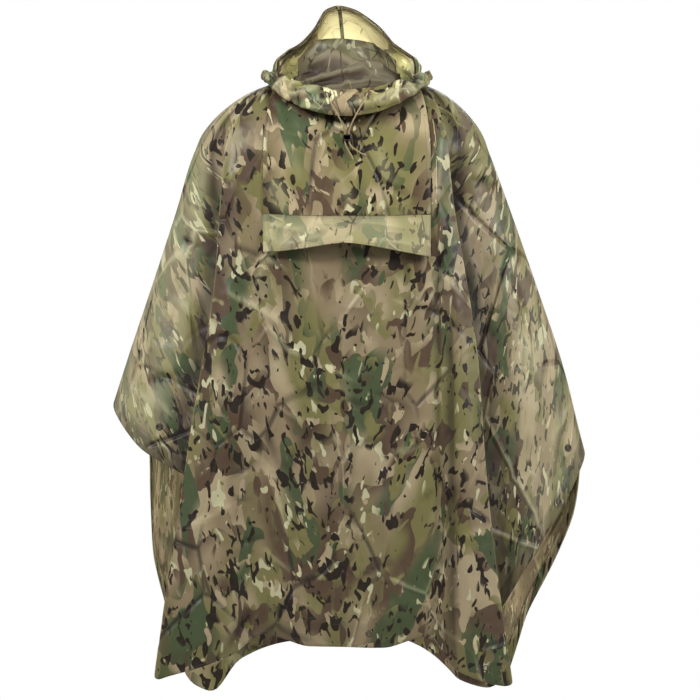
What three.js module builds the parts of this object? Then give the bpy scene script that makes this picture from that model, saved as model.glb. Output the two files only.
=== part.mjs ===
// A hooded rain poncho of thin coated nylon, filled out as if worn, with nobody in it.
// Millimetres, +Z up. The origin is the middle of the neck opening at the height of the
// shoulder tops, where the wearer carries the cloth. The front faces -Y.
// "Left" and "right" are the sides as seen from the front: left is -X.

import * as THREE from 'three';

// Cloth and seams
const CLOTH = 1.2; // thickness of one layer of cloth
const SEAM_GAP = 0.3; // room between two pieces that are sewn together
const LAYER = CLOTH + SEAM_GAP; // from one layer to the next
const FOOT_HEM = 56; // depth of the turned hem along the foot
const SIDE_HEM = 34; // depth of the turned hem along the sides

// Neck opening
const NECK_HALF_WIDTH = 158;
const NECK_FRONT_DEPTH = 125;
const NECK_BACK_DEPTH = 118;
const NECK_SIDE_HEIGHT = 4;
const NECK_FRONT_DROP = 66; // how far the front of the opening lies below its sides
const NECK_BACK_DROP = 4;

// The yoke is the stretch from the neck out over the shoulders and down to this height
const YOKE_FOOT = -130;
const YOKE_SPREAD = { first: 0.38, last: 0.10 }; // share of the way out, early and late
const YOKE_FALL = { first: 0.12, last: 0.45 }; // share of the way down, early and late

// Rows of the panels, from the neck down to the hem
const YOKE_ROWS = 5;
const POCKET_MOUTH_SHARE = 0.15; // share of the way from the yoke's foot to the hem
const BODY_SHARES = [0.05, 0.10, POCKET_MOUTH_SHARE, 0.21, 0.28, 0.35, 0.42, 0.50, 0.58,
  0.66, 0.74, 0.82, 0.91, 1];

const CHEST_SEAM_X = 165; // the chest panel's side seams

// Level sections of the body, a row for each height. All reaches are measured from the
// middle plane or the arm line: the arm line to each side, the long front fold to each
// side, and how far forward or back the cloth stands.
const SECTIONS = [
  { z: -60, armLeft: 262, armRight: 256, foldLeft: 226, foldRight: 196, front: 132, back: 122, wing: 52 },
  { z: -130, armLeft: 305, armRight: 284, foldLeft: 241, foldRight: 200, front: 142, back: 134, wing: 56 },
  { z: -250, armLeft: 342, armRight: 328, foldLeft: 252, foldRight: 213, front: 153, back: 150, wing: 62 },
  { z: -400, armLeft: 391, armRight: 380, foldLeft: 262, foldRight: 238, front: 166, back: 166, wing: 68 },
  { z: -550, armLeft: 441, armRight: 430, foldLeft: 285, foldRight: 259, front: 180, back: 182, wing: 74 },
  { z: -700, armLeft: 486, armRight: 468, foldLeft: 310, foldRight: 269, front: 193, back: 195, wing: 80 },
  { z: -850, armLeft: 512, armRight: 506, foldLeft: 331, foldRight: 282, front: 204, back: 205, wing: 88 },
  { z: -1000, armLeft: 522, armRight: 518, foldLeft: 355, foldRight: 300, front: 213, back: 213, wing: 98 },
  { z: -1220, armLeft: 530, armRight: 525, foldLeft: 384, foldRight: 330, front: 222, back: 220, wing: 112 },
];
const ARM_HALF_DEPTH = 40; // half the depth of the cloth where it rounds the arm line
const FOLD_STARTS = -20; // the long front folds begin here
const FOLD_FULL = -300; // and have their whole depth from here down
const FOLD_RETURN = 46; // how far the folded cloth runs back under itself
const FOLD_DEPTH = 62;

// Places across the front panel, from the left arm line to the right one: the angle on
// the neck opening that each place hangs from (0 in front, 90 at the side), the height
// of its hem, the depth of that hem, and how many steps lead to the next place.
const FRONT_PLACES = [
  { name: 'armLeft', angle: -90, hem: -632, turn: SIDE_HEM, steps: 2 },
  { name: 'roundLeft', angle: -88, hem: -656, turn: SIDE_HEM, steps: 2 },
  { name: 'wingLeft', angle: -85, hem: -724, turn: SIDE_HEM, steps: 2 },
  { name: 'underLeft', angle: -82, hem: -778, turn: SIDE_HEM, steps: 1 },
  { name: 'tuckLeft', angle: -80, hem: -830, turn: SIDE_HEM, steps: 2 },
  { name: 'returnLeft', angle: -78.5, hem: -1010, turn: SIDE_HEM, steps: 2 },
  { name: 'foldLeft', angle: -77, hem: -1154, turn: FOOT_HEM, steps: 2 },
  { name: 'faceLeft', angle: -74, hem: -1164, turn: FOOT_HEM, steps: 2 },
  { name: 'flankLeft', angle: -71, hem: -1124, turn: FOOT_HEM, steps: 2 },
  { name: 'seamLeft', angle: -67, hem: -1082, turn: FOOT_HEM, steps: 2 },
  { name: 'midLeft', angle: -38, hem: -1104, turn: FOOT_HEM, steps: 3 },
  { name: 'centre', angle: 0, hem: -1107, turn: FOOT_HEM, steps: 3 },
  { name: 'midRight', angle: 38, hem: -1107, turn: FOOT_HEM, steps: 2 },
  { name: 'seamRight', angle: 67, hem: -1088, turn: FOOT_HEM, steps: 2 },
  { name: 'flankRight', angle: 72, hem: -1150, turn: FOOT_HEM, steps: 2 },
  { name: 'faceRight', angle: 75, hem: -1182, turn: FOOT_HEM, steps: 2 },
  { name: 'foldRight', angle: 77, hem: -1174, turn: FOOT_HEM, steps: 2 },
  { name: 'returnRight', angle: 78.5, hem: -1120, turn: SIDE_HEM, steps: 2 },
  { name: 'tuckRight', angle: 80, hem: -1072, turn: SIDE_HEM, steps: 1 },
  { name: 'underRight', angle: 82, hem: -1040, turn: SIDE_HEM, steps: 2 },
  { name: 'wingRight', angle: 85, hem: -880, turn: SIDE_HEM, steps: 2 },
  { name: 'roundRight', angle: 88, hem: -756, turn: SIDE_HEM, steps: 2 },
  { name: 'armRight', angle: 90, hem: -728, turn: SIDE_HEM, steps: 0 },
];

// Places across the back panel: share of the arm line's reach, and the rest as above
const BACK_PLACES = [
  { share: -1, angle: -90, hem: -632, turn: SIDE_HEM, steps: 2 },
  { share: -0.955, angle: -93, hem: -650, turn: SIDE_HEM, steps: 2 },
  { share: -0.82, angle: -97, hem: -720, turn: SIDE_HEM, steps: 2 },
  { share: -0.76, angle: -101, hem: -930, turn: SIDE_HEM, steps: 2 },
  { share: -0.71, angle: -105, hem: -1034, turn: SIDE_HEM, steps: 2 },
  { share: -0.62, angle: -112, hem: -1190, turn: FOOT_HEM, steps: 2 },
  { share: -0.50, angle: -121, hem: -1216, turn: FOOT_HEM, steps: 1 },
  { share: -0.43, angle: -130, hem: -1164, turn: FOOT_HEM, steps: 2 },
  { share: -0.32, angle: -140, hem: -1134, turn: FOOT_HEM, steps: 2 },
  { share: -0.17, angle: -158, hem: -1119, turn: FOOT_HEM, steps: 2 },
  { share: 0, angle: -180, hem: -1126, turn: FOOT_HEM, steps: 2 },
  { share: 0.20, angle: -202, hem: -1114, turn: FOOT_HEM, steps: 2 },
  { share: 0.34, angle: -220, hem: -1150, turn: FOOT_HEM, steps: 2 },
  { share: 0.44, angle: -230, hem: -1200, turn: FOOT_HEM, steps: 1 },
  { share: 0.53, angle: -239, hem: -1214, turn: FOOT_HEM, steps: 2 },
  { share: 0.62, angle: -248, hem: -1186, turn: FOOT_HEM, steps: 2 },
  { share: 0.70, angle: -255, hem: -1066, turn: SIDE_HEM, steps: 2 },
  { share: 0.80, angle: -260, hem: -968, turn: SIDE_HEM, steps: 2 },
  { share: 0.90, angle: -264, hem: -858, turn: SIDE_HEM, steps: 2 },
  { share: 0.965, angle: -267, hem: -762, turn: SIDE_HEM, steps: 2 },
  { share: 1, angle: -270, hem: -728, turn: SIDE_HEM, steps: 0 },
];

// Hanging folds, a row for each: where the ridge starts and ends, its half width there,
// and how far it stands out (a trough is negative)
const FRONT_FOLDS = [
  { topX: -205, topZ: -170, footX: -250, footZ: -1160, narrow: 26, wide: 44, proud: 11 },
  { topX: -170, topZ: -330, footX: -190, footZ: -1090, narrow: 24, wide: 40, proud: -12 },
  { topX: -120, topZ: -420, footX: -120, footZ: -1110, narrow: 26, wide: 42, proud: 9 },
  { topX: -40, topZ: -520, footX: -48, footZ: -1110, narrow: 26, wide: 44, proud: -8 },
  { topX: 40, topZ: -460, footX: 36, footZ: -1110, narrow: 26, wide: 44, proud: 8 },
  { topX: 110, topZ: -400, footX: 112, footZ: -1110, narrow: 26, wide: 40, proud: -9 },
  { topX: 180, topZ: -200, footX: 196, footZ: -1090, narrow: 16, wide: 22, proud: -16 },
  { topX: 192, topZ: -170, footX: 240, footZ: -1180, narrow: 18, wide: 34, proud: 12 },
  { topX: -330, topZ: -170, footX: -400, footZ: -720, narrow: 18, wide: 30, proud: 8 },
  { topX: 300, topZ: -170, footX: 380, footZ: -950, narrow: 20, wide: 36, proud: 10 },
  { topX: 330, topZ: -330, footX: 430, footZ: -860, narrow: 16, wide: 26, proud: -8 },
];
const BACK_FOLDS = [
  { topX: -240, topZ: -150, footX: -330, footZ: -1200, narrow: 30, wide: 50, proud: 20 },
  { topX: -180, topZ: -200, footX: -240, footZ: -1210, narrow: 28, wide: 46, proud: -18 },
  { topX: -110, topZ: -120, footX: -150, footZ: -1140, narrow: 30, wide: 50, proud: 20 },
  { topX: -40, topZ: -260, footX: -50, footZ: -1120, narrow: 30, wide: 50, proud: -14 },
  { topX: 30, topZ: -140, footX: 45, footZ: -1120, narrow: 32, wide: 52, proud: 18 },
  { topX: 100, topZ: -220, footX: 140, footZ: -1120, narrow: 28, wide: 44, proud: -16 },
  { topX: 170, topZ: -140, footX: 230, footZ: -1210, narrow: 30, wide: 50, proud: 20 },
  { topX: 250, topZ: -200, footX: 330, footZ: -1180, narrow: 28, wide: 46, proud: -15 },
  { topX: -330, topZ: -240, footX: -420, footZ: -720, narrow: 24, wide: 36, proud: 10 },
  { topX: 310, topZ: -200, footX: 430, footZ: -900, narrow: 26, wide: 42, proud: 12 },
];

// Hood, a row for each level from the neck seam to the peak: the edge of the face
// opening to each side, and the seam down the middle of the back
const HOOD_LEVELS = [
  { rimLeft: -139, rimRight: 139, rimY: -58, rimZ: -8, seamX: 0, seamY: 117, seamZ: 2 },
  { rimLeft: -139, rimRight: 138, rimY: -48, rimZ: 28, seamX: -2, seamY: 124, seamZ: 34 },
  { rimLeft: -136, rimRight: 132, rimY: -50, rimZ: 57, seamX: -5, seamY: 140, seamZ: 66 },
  { rimLeft: -93, rimRight: 93, rimY: -44, rimZ: 86, seamX: -8, seamY: 132, seamZ: 98 },
  { rimLeft: -64, rimRight: 66, rimY: -30, rimZ: 118, seamX: -11, seamY: 108, seamZ: 128 },
  { rimLeft: -45, rimRight: 21, rimY: -16, rimZ: 152, seamX: -14, seamY: 66, seamZ: 153 },
  { rimLeft: -20, rimRight: -14, rimY: -8, rimZ: 163, seamX: -17, seamY: 0, seamZ: 164 },
];
const HOOD_ROWS_A_LEVEL = 2;
const HOOD_SHARES = [0, 0.09, 0.2, 0.32, 0.44, 0.56, 0.68, 0.8, 0.9, 1];
const HOOD_SEAM_ANGLE = 62; // the hood's sides start here on the neck opening
const HOOD_SEAM_INSET = 3; // the hood's foot goes down inside the neck opening
const HOOD_SEAM_DEPTH = 3;
const HOOD_SIDE_FULLNESS = 7;
const SEAM_STRIP_WIDTH = 12;
const STRIP_GAP = 0.9;

// Cowl, the roll of hood cloth in front of the neck: its profile as steps out from the
// neck opening and up, in front and at the sides
const ANGLE_STEP = 8;
const COWL_HALF_ANGLE = 104;
const COWL_PROFILE = [
  { frontOut: -2.6, frontUp: -1.5, sideOut: -1.2, sideUp: 0.5 },
  { frontOut: -2.2, frontUp: 6, sideOut: -1.1, sideUp: 7 },
  { frontOut: 12, frontUp: 6, sideOut: 6, sideUp: 9.5 },
  { frontOut: 28, frontUp: -3, sideOut: 11, sideUp: 11 },
  { frontOut: 38, frontUp: 10, sideOut: 12, sideUp: 16 },
  { frontOut: 38, frontUp: 28, sideOut: 11, sideUp: 23 },
  { frontOut: 29, frontUp: 44, sideOut: 9, sideUp: 28 },
  { frontOut: 16, frontUp: 52, sideOut: 6, sideUp: 30 },
  { frontOut: 2, frontUp: 47, sideOut: 4, sideUp: 26 },
  { frontOut: -6, frontUp: 30, sideOut: 2, sideUp: 18 },
];

// Throat folds: heights of the three crests of the plain inner cloth, a row for each
// place across
const THROAT_CRESTS = [
  { x: -140, outer: -10, middle: 0, inner: 14 },
  { x: -100, outer: -22, middle: 0, inner: 20 },
  { x: -60, outer: -14, middle: 12, inner: 52 },
  { x: -35, outer: -7, middle: 18, inner: 71 },
  { x: -5, outer: -1, middle: 27, inner: 62 },
  { x: 25, outer: 7, middle: 35, inner: 46 },
  { x: 60, outer: 8, middle: 27, inner: 50 },
  { x: 90, outer: -2, middle: 12, inner: 30 },
  { x: 140, outer: -4, middle: 4, inner: 14 },
];
// The same folds from front to back: how far in from the neck opening, and how far over
// the throat's floor or over the crest that it reaches
const THROAT_PATH = [
  { inset: 6.6, over: 12 },
  { inset: 10, over: 0 },
  { inset: 13, over: 0 },
  { inset: 18, crest: 'outer', over: -5 },
  { inset: 21, crest: 'outer', over: 0 },
  { inset: 24, crest: 'outer', over: -5 },
  { inset: 31, over: 0 },
  { inset: 35, over: 0 },
  { inset: 43, crest: 'middle', over: -6 },
  { inset: 47, crest: 'middle', over: 0 },
  { inset: 51, crest: 'middle', over: -6 },
  { inset: 61, over: 0 },
  { inset: 66, over: 0 },
  { inset: 84, crest: 'inner', over: -8 },
  { inset: 90, crest: 'inner', over: 0 },
  { inset: 96, crest: 'inner', over: -7 },
  { inset: 112, over: 0 },
];
const THROAT_FLOOR_UP = { front: 18, side: 10 };
const THROAT_LEAST_RISE = 12;
const THROAT_NARROWING = 0.35;
const THROAT_HALF_ANGLE = 56;

// Turned band: the printed cloth that rises behind the throat folds and turns over. Its
// top edge, a row for each place across, and its path from the foot to the turned edge
const BAND_TOPS = [
  { x: -115, top: 40 },
  { x: -92, top: 64 },
  { x: -68, top: 90 },
  { x: -48, top: 97 },
  { x: -4, top: 98 },
  { x: 44, top: 91 },
  { x: 70, top: 79 },
  { x: 92, top: 60 },
  { x: 115, top: 38 },
];
const BAND_PATH = [
  { rise: 0, back: 1.55, drop: 2 },
  { rise: 0.34, back: 8, drop: 0 },
  { rise: 0.68, back: 18, drop: 0 },
  { rise: 0.95, back: 26, drop: 0 },
  { rise: 1, back: 30, drop: 0 },
  { rise: 1, back: 34, drop: 4 },
  { rise: 1, back: 35, drop: 18 },
];

// Flap over the pocket mouth: its rows as shares of the drop (the first is sewn on above
// the mouth, in millimetres) with how far each stands out, and its free edge, a row for
// each place across, with how much of that it has there
const FLAP_ROWS = [
  { down: -7, out: 0 },
  { down: 0, out: 0.4 },
  { down: 0.2, out: 3.5 },
  { down: 0.45, out: 9 },
  { down: 0.72, out: 15 },
  { down: 1, out: 19 },
];
const FLAP_EDGE = [
  { x: -165, z: -333, proud: 0.3 },
  { x: -110, z: -330, proud: 0.8 },
  { x: -60, z: -322, proud: 1.2 },
  { x: -5, z: -315, proud: 1 },
  { x: 40, z: -320, proud: 1.15 },
  { x: 100, z: -331, proud: 0.7 },
  { x: 165, z: -343, proud: 0.4 },
];

// Snaps on the hems, a row for each: its place as seen from the front
const ROUND_SIDES = 12;
const SNAP_RADIUS = 7.5;
const SNAP_HEIGHT = 2.6;
const SNAP_LIFT = 0.5;
const SNAPS = [
  { name: 'snap_left_wing', panel: 'front', x: -384, z: -668 },
  { name: 'snap_right_wing_upper', panel: 'front', x: 452, z: -716 },
  { name: 'snap_right_wing_lower', panel: 'front', x: 404, z: -862 },
  { name: 'snap_front_foot_right', panel: 'front', x: 288, z: -1128 },
  { name: 'snap_front_foot_middle', panel: 'front', x: 40, z: -1052 },
  { name: 'snap_back_left_wing', panel: 'back', x: -420, z: -650 },
  { name: 'snap_back_right_wing', panel: 'back', x: 436, z: -790 },
  { name: 'snap_back_foot_left', panel: 'back', x: -280, z: -1170 },
  { name: 'snap_back_foot_right', panel: 'back', x: 296, z: -1160 },
];

// Eyelets on the cowl, and the lock that the drawcord runs through
const EYELET = { hole: 2.6, outer: 6.5, height: 1.6, profileStep: 5 };
const EYELET_LIFT = 0.5;
const EYELETS = [
  { name: 'eyelet_left', angle: -12 },
  { name: 'eyelet_right', angle: 12 },
];
const LOCK = { width: 19, height: 10, depth: 12, corner: 3, x: 0, y: -154.3, z: -107 };

// Drawcord: the route of each free stretch
const CORD_DIAMETER = 3;
const CORD_SIDES = 8;
const CORD_ROUTES = {
  drawcord_left: [
    [-39.5, -154.1, -23.1], [-39.9, -156.8, -21.6], [-39.9, -160.6, -20.8],
    [-39.2, -164.2, -22.4], [-38, -166.6, -26.6], [-35.5, -167.3, -32.5], [-30, -167.6, -42],
    [-24, -167.6, -52], [-16, -167, -67], [-9, -162.8, -81], [-5, -157, -92],
    [-4, -154.6, -97.5], [-4, -154.3, -101.7],
  ],
  drawcord_right: [
    [39.5, -154.1, -23.1], [39.9, -156.8, -21.6], [39.9, -160.6, -20.8],
    [39.2, -164.2, -22.4], [38, -166.6, -26.6], [35.5, -167.3, -32.5], [30, -167.6, -42],
    [24, -167.6, -52], [16, -167, -67], [9, -162.8, -81], [5, -157, -92],
    [4, -154.6, -97.5], [4, -154.3, -101.7],
  ],
  drawcord_tail_left: [
    [-4, -154.3, -112.4], [-3.8, -154.7, -117.5], [-1, -155, -125.5], [3.5, -155.3, -134],
    [8.5, -155.6, -142], [12.5, -156, -150],
  ],
  drawcord_tail_right: [
    [4, -154.3, -112.5], [4.6, -154.6, -117], [10, -155, -126], [19.5, -155.2, -133],
    [28, -155.4, -138.5], [37, -155.6, -142.5],
  ],
};

// Small helpers

const toRadians = THREE.MathUtils.degToRad;
const { lerp, clamp } = THREE.MathUtils;
const easeBetween = (from, to, value) => {
  const share = clamp((value - from) / (to - from), 0, 1);
  return share * share * (3 - 2 * share);
};

// Reads one column of a table at a place, on a smooth curve through its rows.
function readTable(rows, key, place, column) {
  const rising = rows[rows.length - 1][key] > rows[0][key];
  let next = rows.findIndex((row) => (rising ? row[key] > place : row[key] < place));
  if (next === -1) next = rows.length - 1;
  next = Math.max(next, 1);
  const [a, b] = [rows[next - 1], rows[next]];
  const before = rows[next - 2] ?? a;
  const after = rows[next + 1] ?? b;
  const span = b[key] - a[key];
  const share = clamp((place - a[key]) / span, 0, 1);
  const slopeA = (b[column] - before[column]) / (b[key] - before[key]);
  const slopeB = (after[column] - a[column]) / (after[key] - a[key]);
  const h = share * share * (3 - 2 * share);
  const bendA = share * (1 - share) * (1 - share) * span * slopeA;
  const bendB = share * share * (share - 1) * span * slopeB;
  return a[column] * (1 - h) + b[column] * h + bendA + bendB;
}

// A point on a smooth curve through a row of points, at a place counted in points.
function alongPoints(points, place) {
  const index = clamp(Math.floor(place), 0, points.length - 2);
  const t = place - index;
  const p1 = points[index];
  const p2 = points[index + 1];
  const p0 = points[index - 1] ?? p1.clone().multiplyScalar(2).sub(p2);
  const p3 = points[index + 2] ?? p2.clone().multiplyScalar(2).sub(p1);
  const curve = (a, b, c, d) => 0.5 * (2 * b + (c - a) * t
    + (2 * a - 5 * b + 4 * c - d) * t * t + (3 * b - a - 3 * c + d) * t * t * t);
  return new THREE.Vector3(
    curve(p0.x, p1.x, p2.x, p3.x),
    curve(p0.y, p1.y, p2.y, p3.y),
    curve(p0.z, p1.z, p2.z, p3.z),
  );
}

// Outward normals of a grid of points. In a column that is sewn to its neighbour the
// normal stays in the seam's plane, so that the two edges meet squarely.
function gridNormals(grid, seams = {}) {
  const lastRow = grid.length - 1;
  const lastColumn = grid[0].length - 1;
  return grid.map((row, i) => row.map((point, j) => {
    const down = grid[Math.min(i + 1, lastRow)][j].clone().sub(grid[Math.max(i - 1, 0)][j]);
    const across = row[Math.min(j + 1, lastColumn)].clone().sub(row[Math.max(j - 1, 0)]);
    const normal = across.cross(down);
    if (seams.first && j === 0) normal[seams.first] = 0;
    if (seams.last && j === lastColumn) normal[seams.last] = 0;
    return normal.normalize().negate();
  }));
}

// The same grid moved along its normals.
function movedGrid(grid, normals, distance) {
  return grid.map((row, i) => row.map((point, j) => (
    point.clone().addScaledVector(normals[i][j], distance))));
}

// A closed wall between an outer and an inner grid of points.
function wallBetween(outer, inner) {
  const rows = outer.length;
  const columns = outer[0].length;
  const positions = [];
  for (const grid of [outer, inner]) {
    for (const row of grid) row.forEach((point) => positions.push(...point.toArray()));
  }
  const at = (side, i, j) => side * rows * columns + i * columns + j;
  const faces = [];
  const quad = (a, b, c, d) => faces.push(a, b, c, a, c, d);
  for (let i = 0; i < rows - 1; i += 1) {
    for (let j = 0; j < columns - 1; j += 1) {
      quad(at(0, i, j), at(0, i + 1, j), at(0, i + 1, j + 1), at(0, i, j + 1));
      quad(at(1, i, j), at(1, i, j + 1), at(1, i + 1, j + 1), at(1, i + 1, j));
    }
  }
  for (let j = 0; j < columns - 1; j += 1) {
    quad(at(0, 0, j), at(0, 0, j + 1), at(1, 0, j + 1), at(1, 0, j));
    quad(at(0, rows - 1, j), at(1, rows - 1, j), at(1, rows - 1, j + 1), at(0, rows - 1, j + 1));
  }
  for (let i = 0; i < rows - 1; i += 1) {
    quad(at(0, i, 0), at(1, i, 0), at(1, i + 1, 0), at(0, i + 1, 0));
    quad(at(0, i, columns - 1), at(0, i + 1, columns - 1),
      at(1, i + 1, columns - 1), at(1, i, columns - 1));
  }
  const geometry = new THREE.BufferGeometry();
  geometry.setAttribute('position', new THREE.Float32BufferAttribute(positions, 3));
  geometry.setIndex(faces);
  return geometry;
}

// A cloth wall whose outer face is the grid.
function clothWall(grid, seams = {}) {
  const normals = gridNormals(grid, seams);
  return wallBetween(grid, movedGrid(grid, normals, -CLOTH));
}

// Neck opening, at an angle from the front (0) round by the side (90) to the back (180).
function neckPoint(angle, inset = 0) {
  const turn = toRadians(angle);
  const forward = Math.cos(turn);
  const depth = forward > 0 ? NECK_FRONT_DEPTH : NECK_BACK_DEPTH;
  const drop = forward > 0 ? NECK_FRONT_DROP : NECK_BACK_DROP;
  return new THREE.Vector3(
    Math.sin(turn) * (NECK_HALF_WIDTH - inset),
    -forward * (depth - inset),
    NECK_SIDE_HEIGHT - drop * forward * forward,
  );
}

// How far the hanging folds push the cloth out at a place on a panel.
function foldPush(folds, x, z) {
  let push = 0;
  for (const fold of folds) {
    const share = (z - fold.topZ) / (fold.footZ - fold.topZ);
    const down = clamp(share, 0, 1);
    const ridge = lerp(fold.topX, fold.footX, down);
    const half = lerp(fold.narrow, fold.wide, down);
    const away = (x - ridge) / half;
    const growth = easeBetween(0, 0.45, share);
    push += fold.proud * growth * Math.exp(-away * away);
  }
  return push;
}

// One level section of the front, as points from the left arm line to the right one.
function frontSection(z) {
  const read = (column) => readTable(SECTIONS, 'z', z, column);
  const front = read('front');
  const wing = read('wing');
  const folded = easeBetween(FOLD_STARTS, FOLD_FULL, z);
  const side = (reach, foldReach, sign) => {
    // where the cloth would lie with no fold: a round corner from the front to the arm
    const plain = (x) => {
      const share = clamp((x - CHEST_SEAM_X) / (reach - CHEST_SEAM_X), 0, 1);
      return front * (1 - share ** 2.1) ** 0.75;
    };
    const place = (plainX, foldedX, foldedY) => {
      const x = lerp(plainX, foldedX, folded);
      return new THREE.Vector3(sign * x, -lerp(plain(plainX), foldedY, folded), z);
    };
    const wingX = lerp(foldReach, reach, 0.52);
    return [
      new THREE.Vector3(sign * reach, -SEAM_GAP / 2, z),
      place(reach - 9, reach - 15, ARM_HALF_DEPTH * 0.82),
      place(wingX + 14, wingX, wing),
      place(foldReach + 34, foldReach - 4, front - FOLD_DEPTH - 8),
      place(foldReach + 18, foldReach - FOLD_RETURN, front - FOLD_DEPTH + 4),
      place(foldReach + 8, foldReach - FOLD_RETURN * 0.55, front - FOLD_DEPTH * 0.5),
      place(foldReach, foldReach, front - 16),
      place(foldReach - 20, foldReach - 30, front + 1),
      place(lerp(foldReach, CHEST_SEAM_X, 0.66), lerp(foldReach, CHEST_SEAM_X, 0.7), front),
      new THREE.Vector3(sign * CHEST_SEAM_X, -front, z),
      new THREE.Vector3(sign * CHEST_SEAM_X * 0.52, -front - 5, z),
    ];
  };
  const left = side(read('armLeft'), read('foldLeft'), -1);
  const right = side(read('armRight'), read('foldRight'), 1).reverse();
  return [...left, new THREE.Vector3(0, -front - 7, z), ...right];
}

// One level section of the back, likewise.
function backSection(z) {
  const read = (column) => readTable(SECTIONS, 'z', z, column);
  const back = read('back');
  return BACK_PLACES.map(({ share }) => {
    const reach = share < 0 ? read('armLeft') : read('armRight');
    const out = Math.abs(share);
    const depth = back * (1 - out ** 2.6) ** 0.62;
    return new THREE.Vector3(share * reach, Math.max(depth, SEAM_GAP / 2), z);
  });
}

// A point of a panel on its body, below the yoke: the place across, and the height.
function bodyPoint(panel, place, z) {
  const point = alongPoints(panel.section(z), place);
  const last = panel.places.length - 1;
  const fromEdge = easeBetween(0, 2, Math.min(place, last - place));
  point.y += panel.facing * fromEdge * foldPush(panel.folds, point.x, z);
  return point;
}

// A value of the places table at a place across.
function placeValue(panel, place, column) {
  const rows = panel.places.map((row, index) => ({ index, ...row }));
  return readTable(rows, 'index', place, column);
}

// A point on the yoke, which leaves the neck nearly level and then falls.
function yokePoint(panel, place, share) {
  const start = neckPoint(placeValue(panel, place, 'angle'));
  const end = bodyPoint(panel, place, YOKE_FOOT);
  const last = panel.places.length - 1;
  if (place === 0 || place === last) start.y = end.y;
  const between = (out, down) => new THREE.Vector3(
    lerp(start.x, end.x, out),
    lerp(start.y, end.y, out),
    lerp(start.z, end.z, down),
  );
  const curve = new THREE.CubicBezierCurve3(
    start,
    between(YOKE_SPREAD.first, YOKE_FALL.first),
    between(1 - YOKE_SPREAD.last, 1 - YOKE_FALL.last),
    end,
  );
  return curve.getPoint(share);
}

// The places across a panel where its grid has a column.
function columnPlaces(panel) {
  const columns = [];
  panel.places.forEach(({ steps }, index) => {
    for (let step = 0; step < Math.max(steps, 1); step += 1) {
      columns.push(index + step / Math.max(steps, 1));
    }
  });
  return columns.filter((place) => place <= panel.places.length - 1);
}

// The whole grid of a panel: rows from the neck to the hem.
function panelGrid(panel) {
  const columns = columnPlaces(panel);
  const rows = [];
  for (let row = 0; row < YOKE_ROWS; row += 1) {
    rows.push(columns.map((place) => yokePoint(panel, place, row / YOKE_ROWS)));
  }
  const heights = columns.map((place) => {
    const hem = placeValue(panel, place, 'hem');
    const hemTop = hem + placeValue(panel, place, 'turn');
    return { hem, hemTop };
  });
  for (const share of [0, ...BODY_SHARES]) {
    rows.push(columns.map((place, j) => (
      bodyPoint(panel, place, lerp(YOKE_FOOT, heights[j].hemTop, share)))));
  }
  rows.push(columns.map((place, j) => bodyPoint(panel, place, heights[j].hem)));
  return rows;
}

const FRONT = { places: FRONT_PLACES, section: frontSection, folds: FRONT_FOLDS, facing: -1 };
const BACK = { places: BACK_PLACES, section: backSection, folds: BACK_FOLDS, facing: 1 };

// Materials and meshes

const COLOURS = {
  print: 0x8f8a63,
  inner: 0x7d705a,
  rim: 0x3d3226,
  cord: 0xa9996e,
  hardware: 0x3a322c,
};

const poncho = new THREE.Group();

function addPiece(name, geometry, colour, roughness = 0.7) {
  const material = new THREE.MeshStandardMaterial({ color: colour, roughness, metalness: 0 });
  const mesh = new THREE.Mesh(geometry, material);
  mesh.name = name;
  poncho.add(mesh);
  return mesh;
}

// Front and back panels with their turned hems

const frontGrid = panelGrid(FRONT);
const backGrid = panelGrid(BACK).map((row) => row.reverse());
const SHOULDER_SEAMS = { first: 'y', last: 'y' };
const frontNormals = gridNormals(frontGrid, SHOULDER_SEAMS);
const backNormals = gridNormals(backGrid, SHOULDER_SEAMS);

addPiece('front_panel', clothWall(frontGrid, SHOULDER_SEAMS), COLOURS.print);
addPiece('back_panel', clothWall(backGrid, SHOULDER_SEAMS), COLOURS.print);

// The hem is the edge of the cloth turned up inside: the last two rows moved in.
function hemBand(grid, normals) {
  const lastRows = (rows) => rows.slice(-2).map((row) => row.slice(1, -1));
  const edge = lastRows(grid);
  const edgeNormals = lastRows(normals);
  const outer = movedGrid(edge, edgeNormals, -LAYER);
  return wallBetween(outer, movedGrid(outer, edgeNormals, -CLOTH));
}

addPiece('front_hem', hemBand(frontGrid, frontNormals), COLOURS.print);
addPiece('back_hem', hemBand(backGrid, backNormals), COLOURS.print);

// Chest panel: the middle of the front down to the pocket mouth, one layer out

const placeIndex = (name) => FRONT_PLACES.findIndex((place) => place.name === name);
const frontColumns = columnPlaces(FRONT);
const chestFrom = frontColumns.indexOf(placeIndex('seamLeft'));
const chestTo = frontColumns.indexOf(placeIndex('seamRight'));
const mouthRow = YOKE_ROWS + 1 + BODY_SHARES.indexOf(POCKET_MOUTH_SHARE);

function chestPart(rows) {
  return rows.slice(0, mouthRow + 1).map((row) => row.slice(chestFrom, chestTo + 1));
}

const chestGrid = chestPart(frontGrid);
const chestNormals = chestPart(frontNormals);
addPiece('chest_panel', wallBetween(
  movedGrid(chestGrid, chestNormals, LAYER),
  movedGrid(chestGrid, chestNormals, SEAM_GAP),
), COLOURS.print);

// Pocket flap: sewn on above the pocket mouth, its free edge standing off in a wave

function flapGrid() {
  const columns = frontColumns.slice(chestFrom, chestTo + 1);
  const mouth = chestGrid[mouthRow];
  return FLAP_ROWS.map(({ down, out }) => columns.map((place, j) => {
    const edge = readTable(FLAP_EDGE, 'x', mouth[j].x, 'z');
    const z = down < 0 ? mouth[j].z - down : lerp(mouth[j].z, edge, down);
    const point = bodyPoint(FRONT, place, z);
    const wave = readTable(FLAP_EDGE, 'x', mouth[j].x, 'proud');
    point.y -= 2 * LAYER + SEAM_GAP + out * wave;
    return point;
  }));
}

addPiece('pocket_flap', clothWall(flapGrid()), COLOURS.print);

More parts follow.
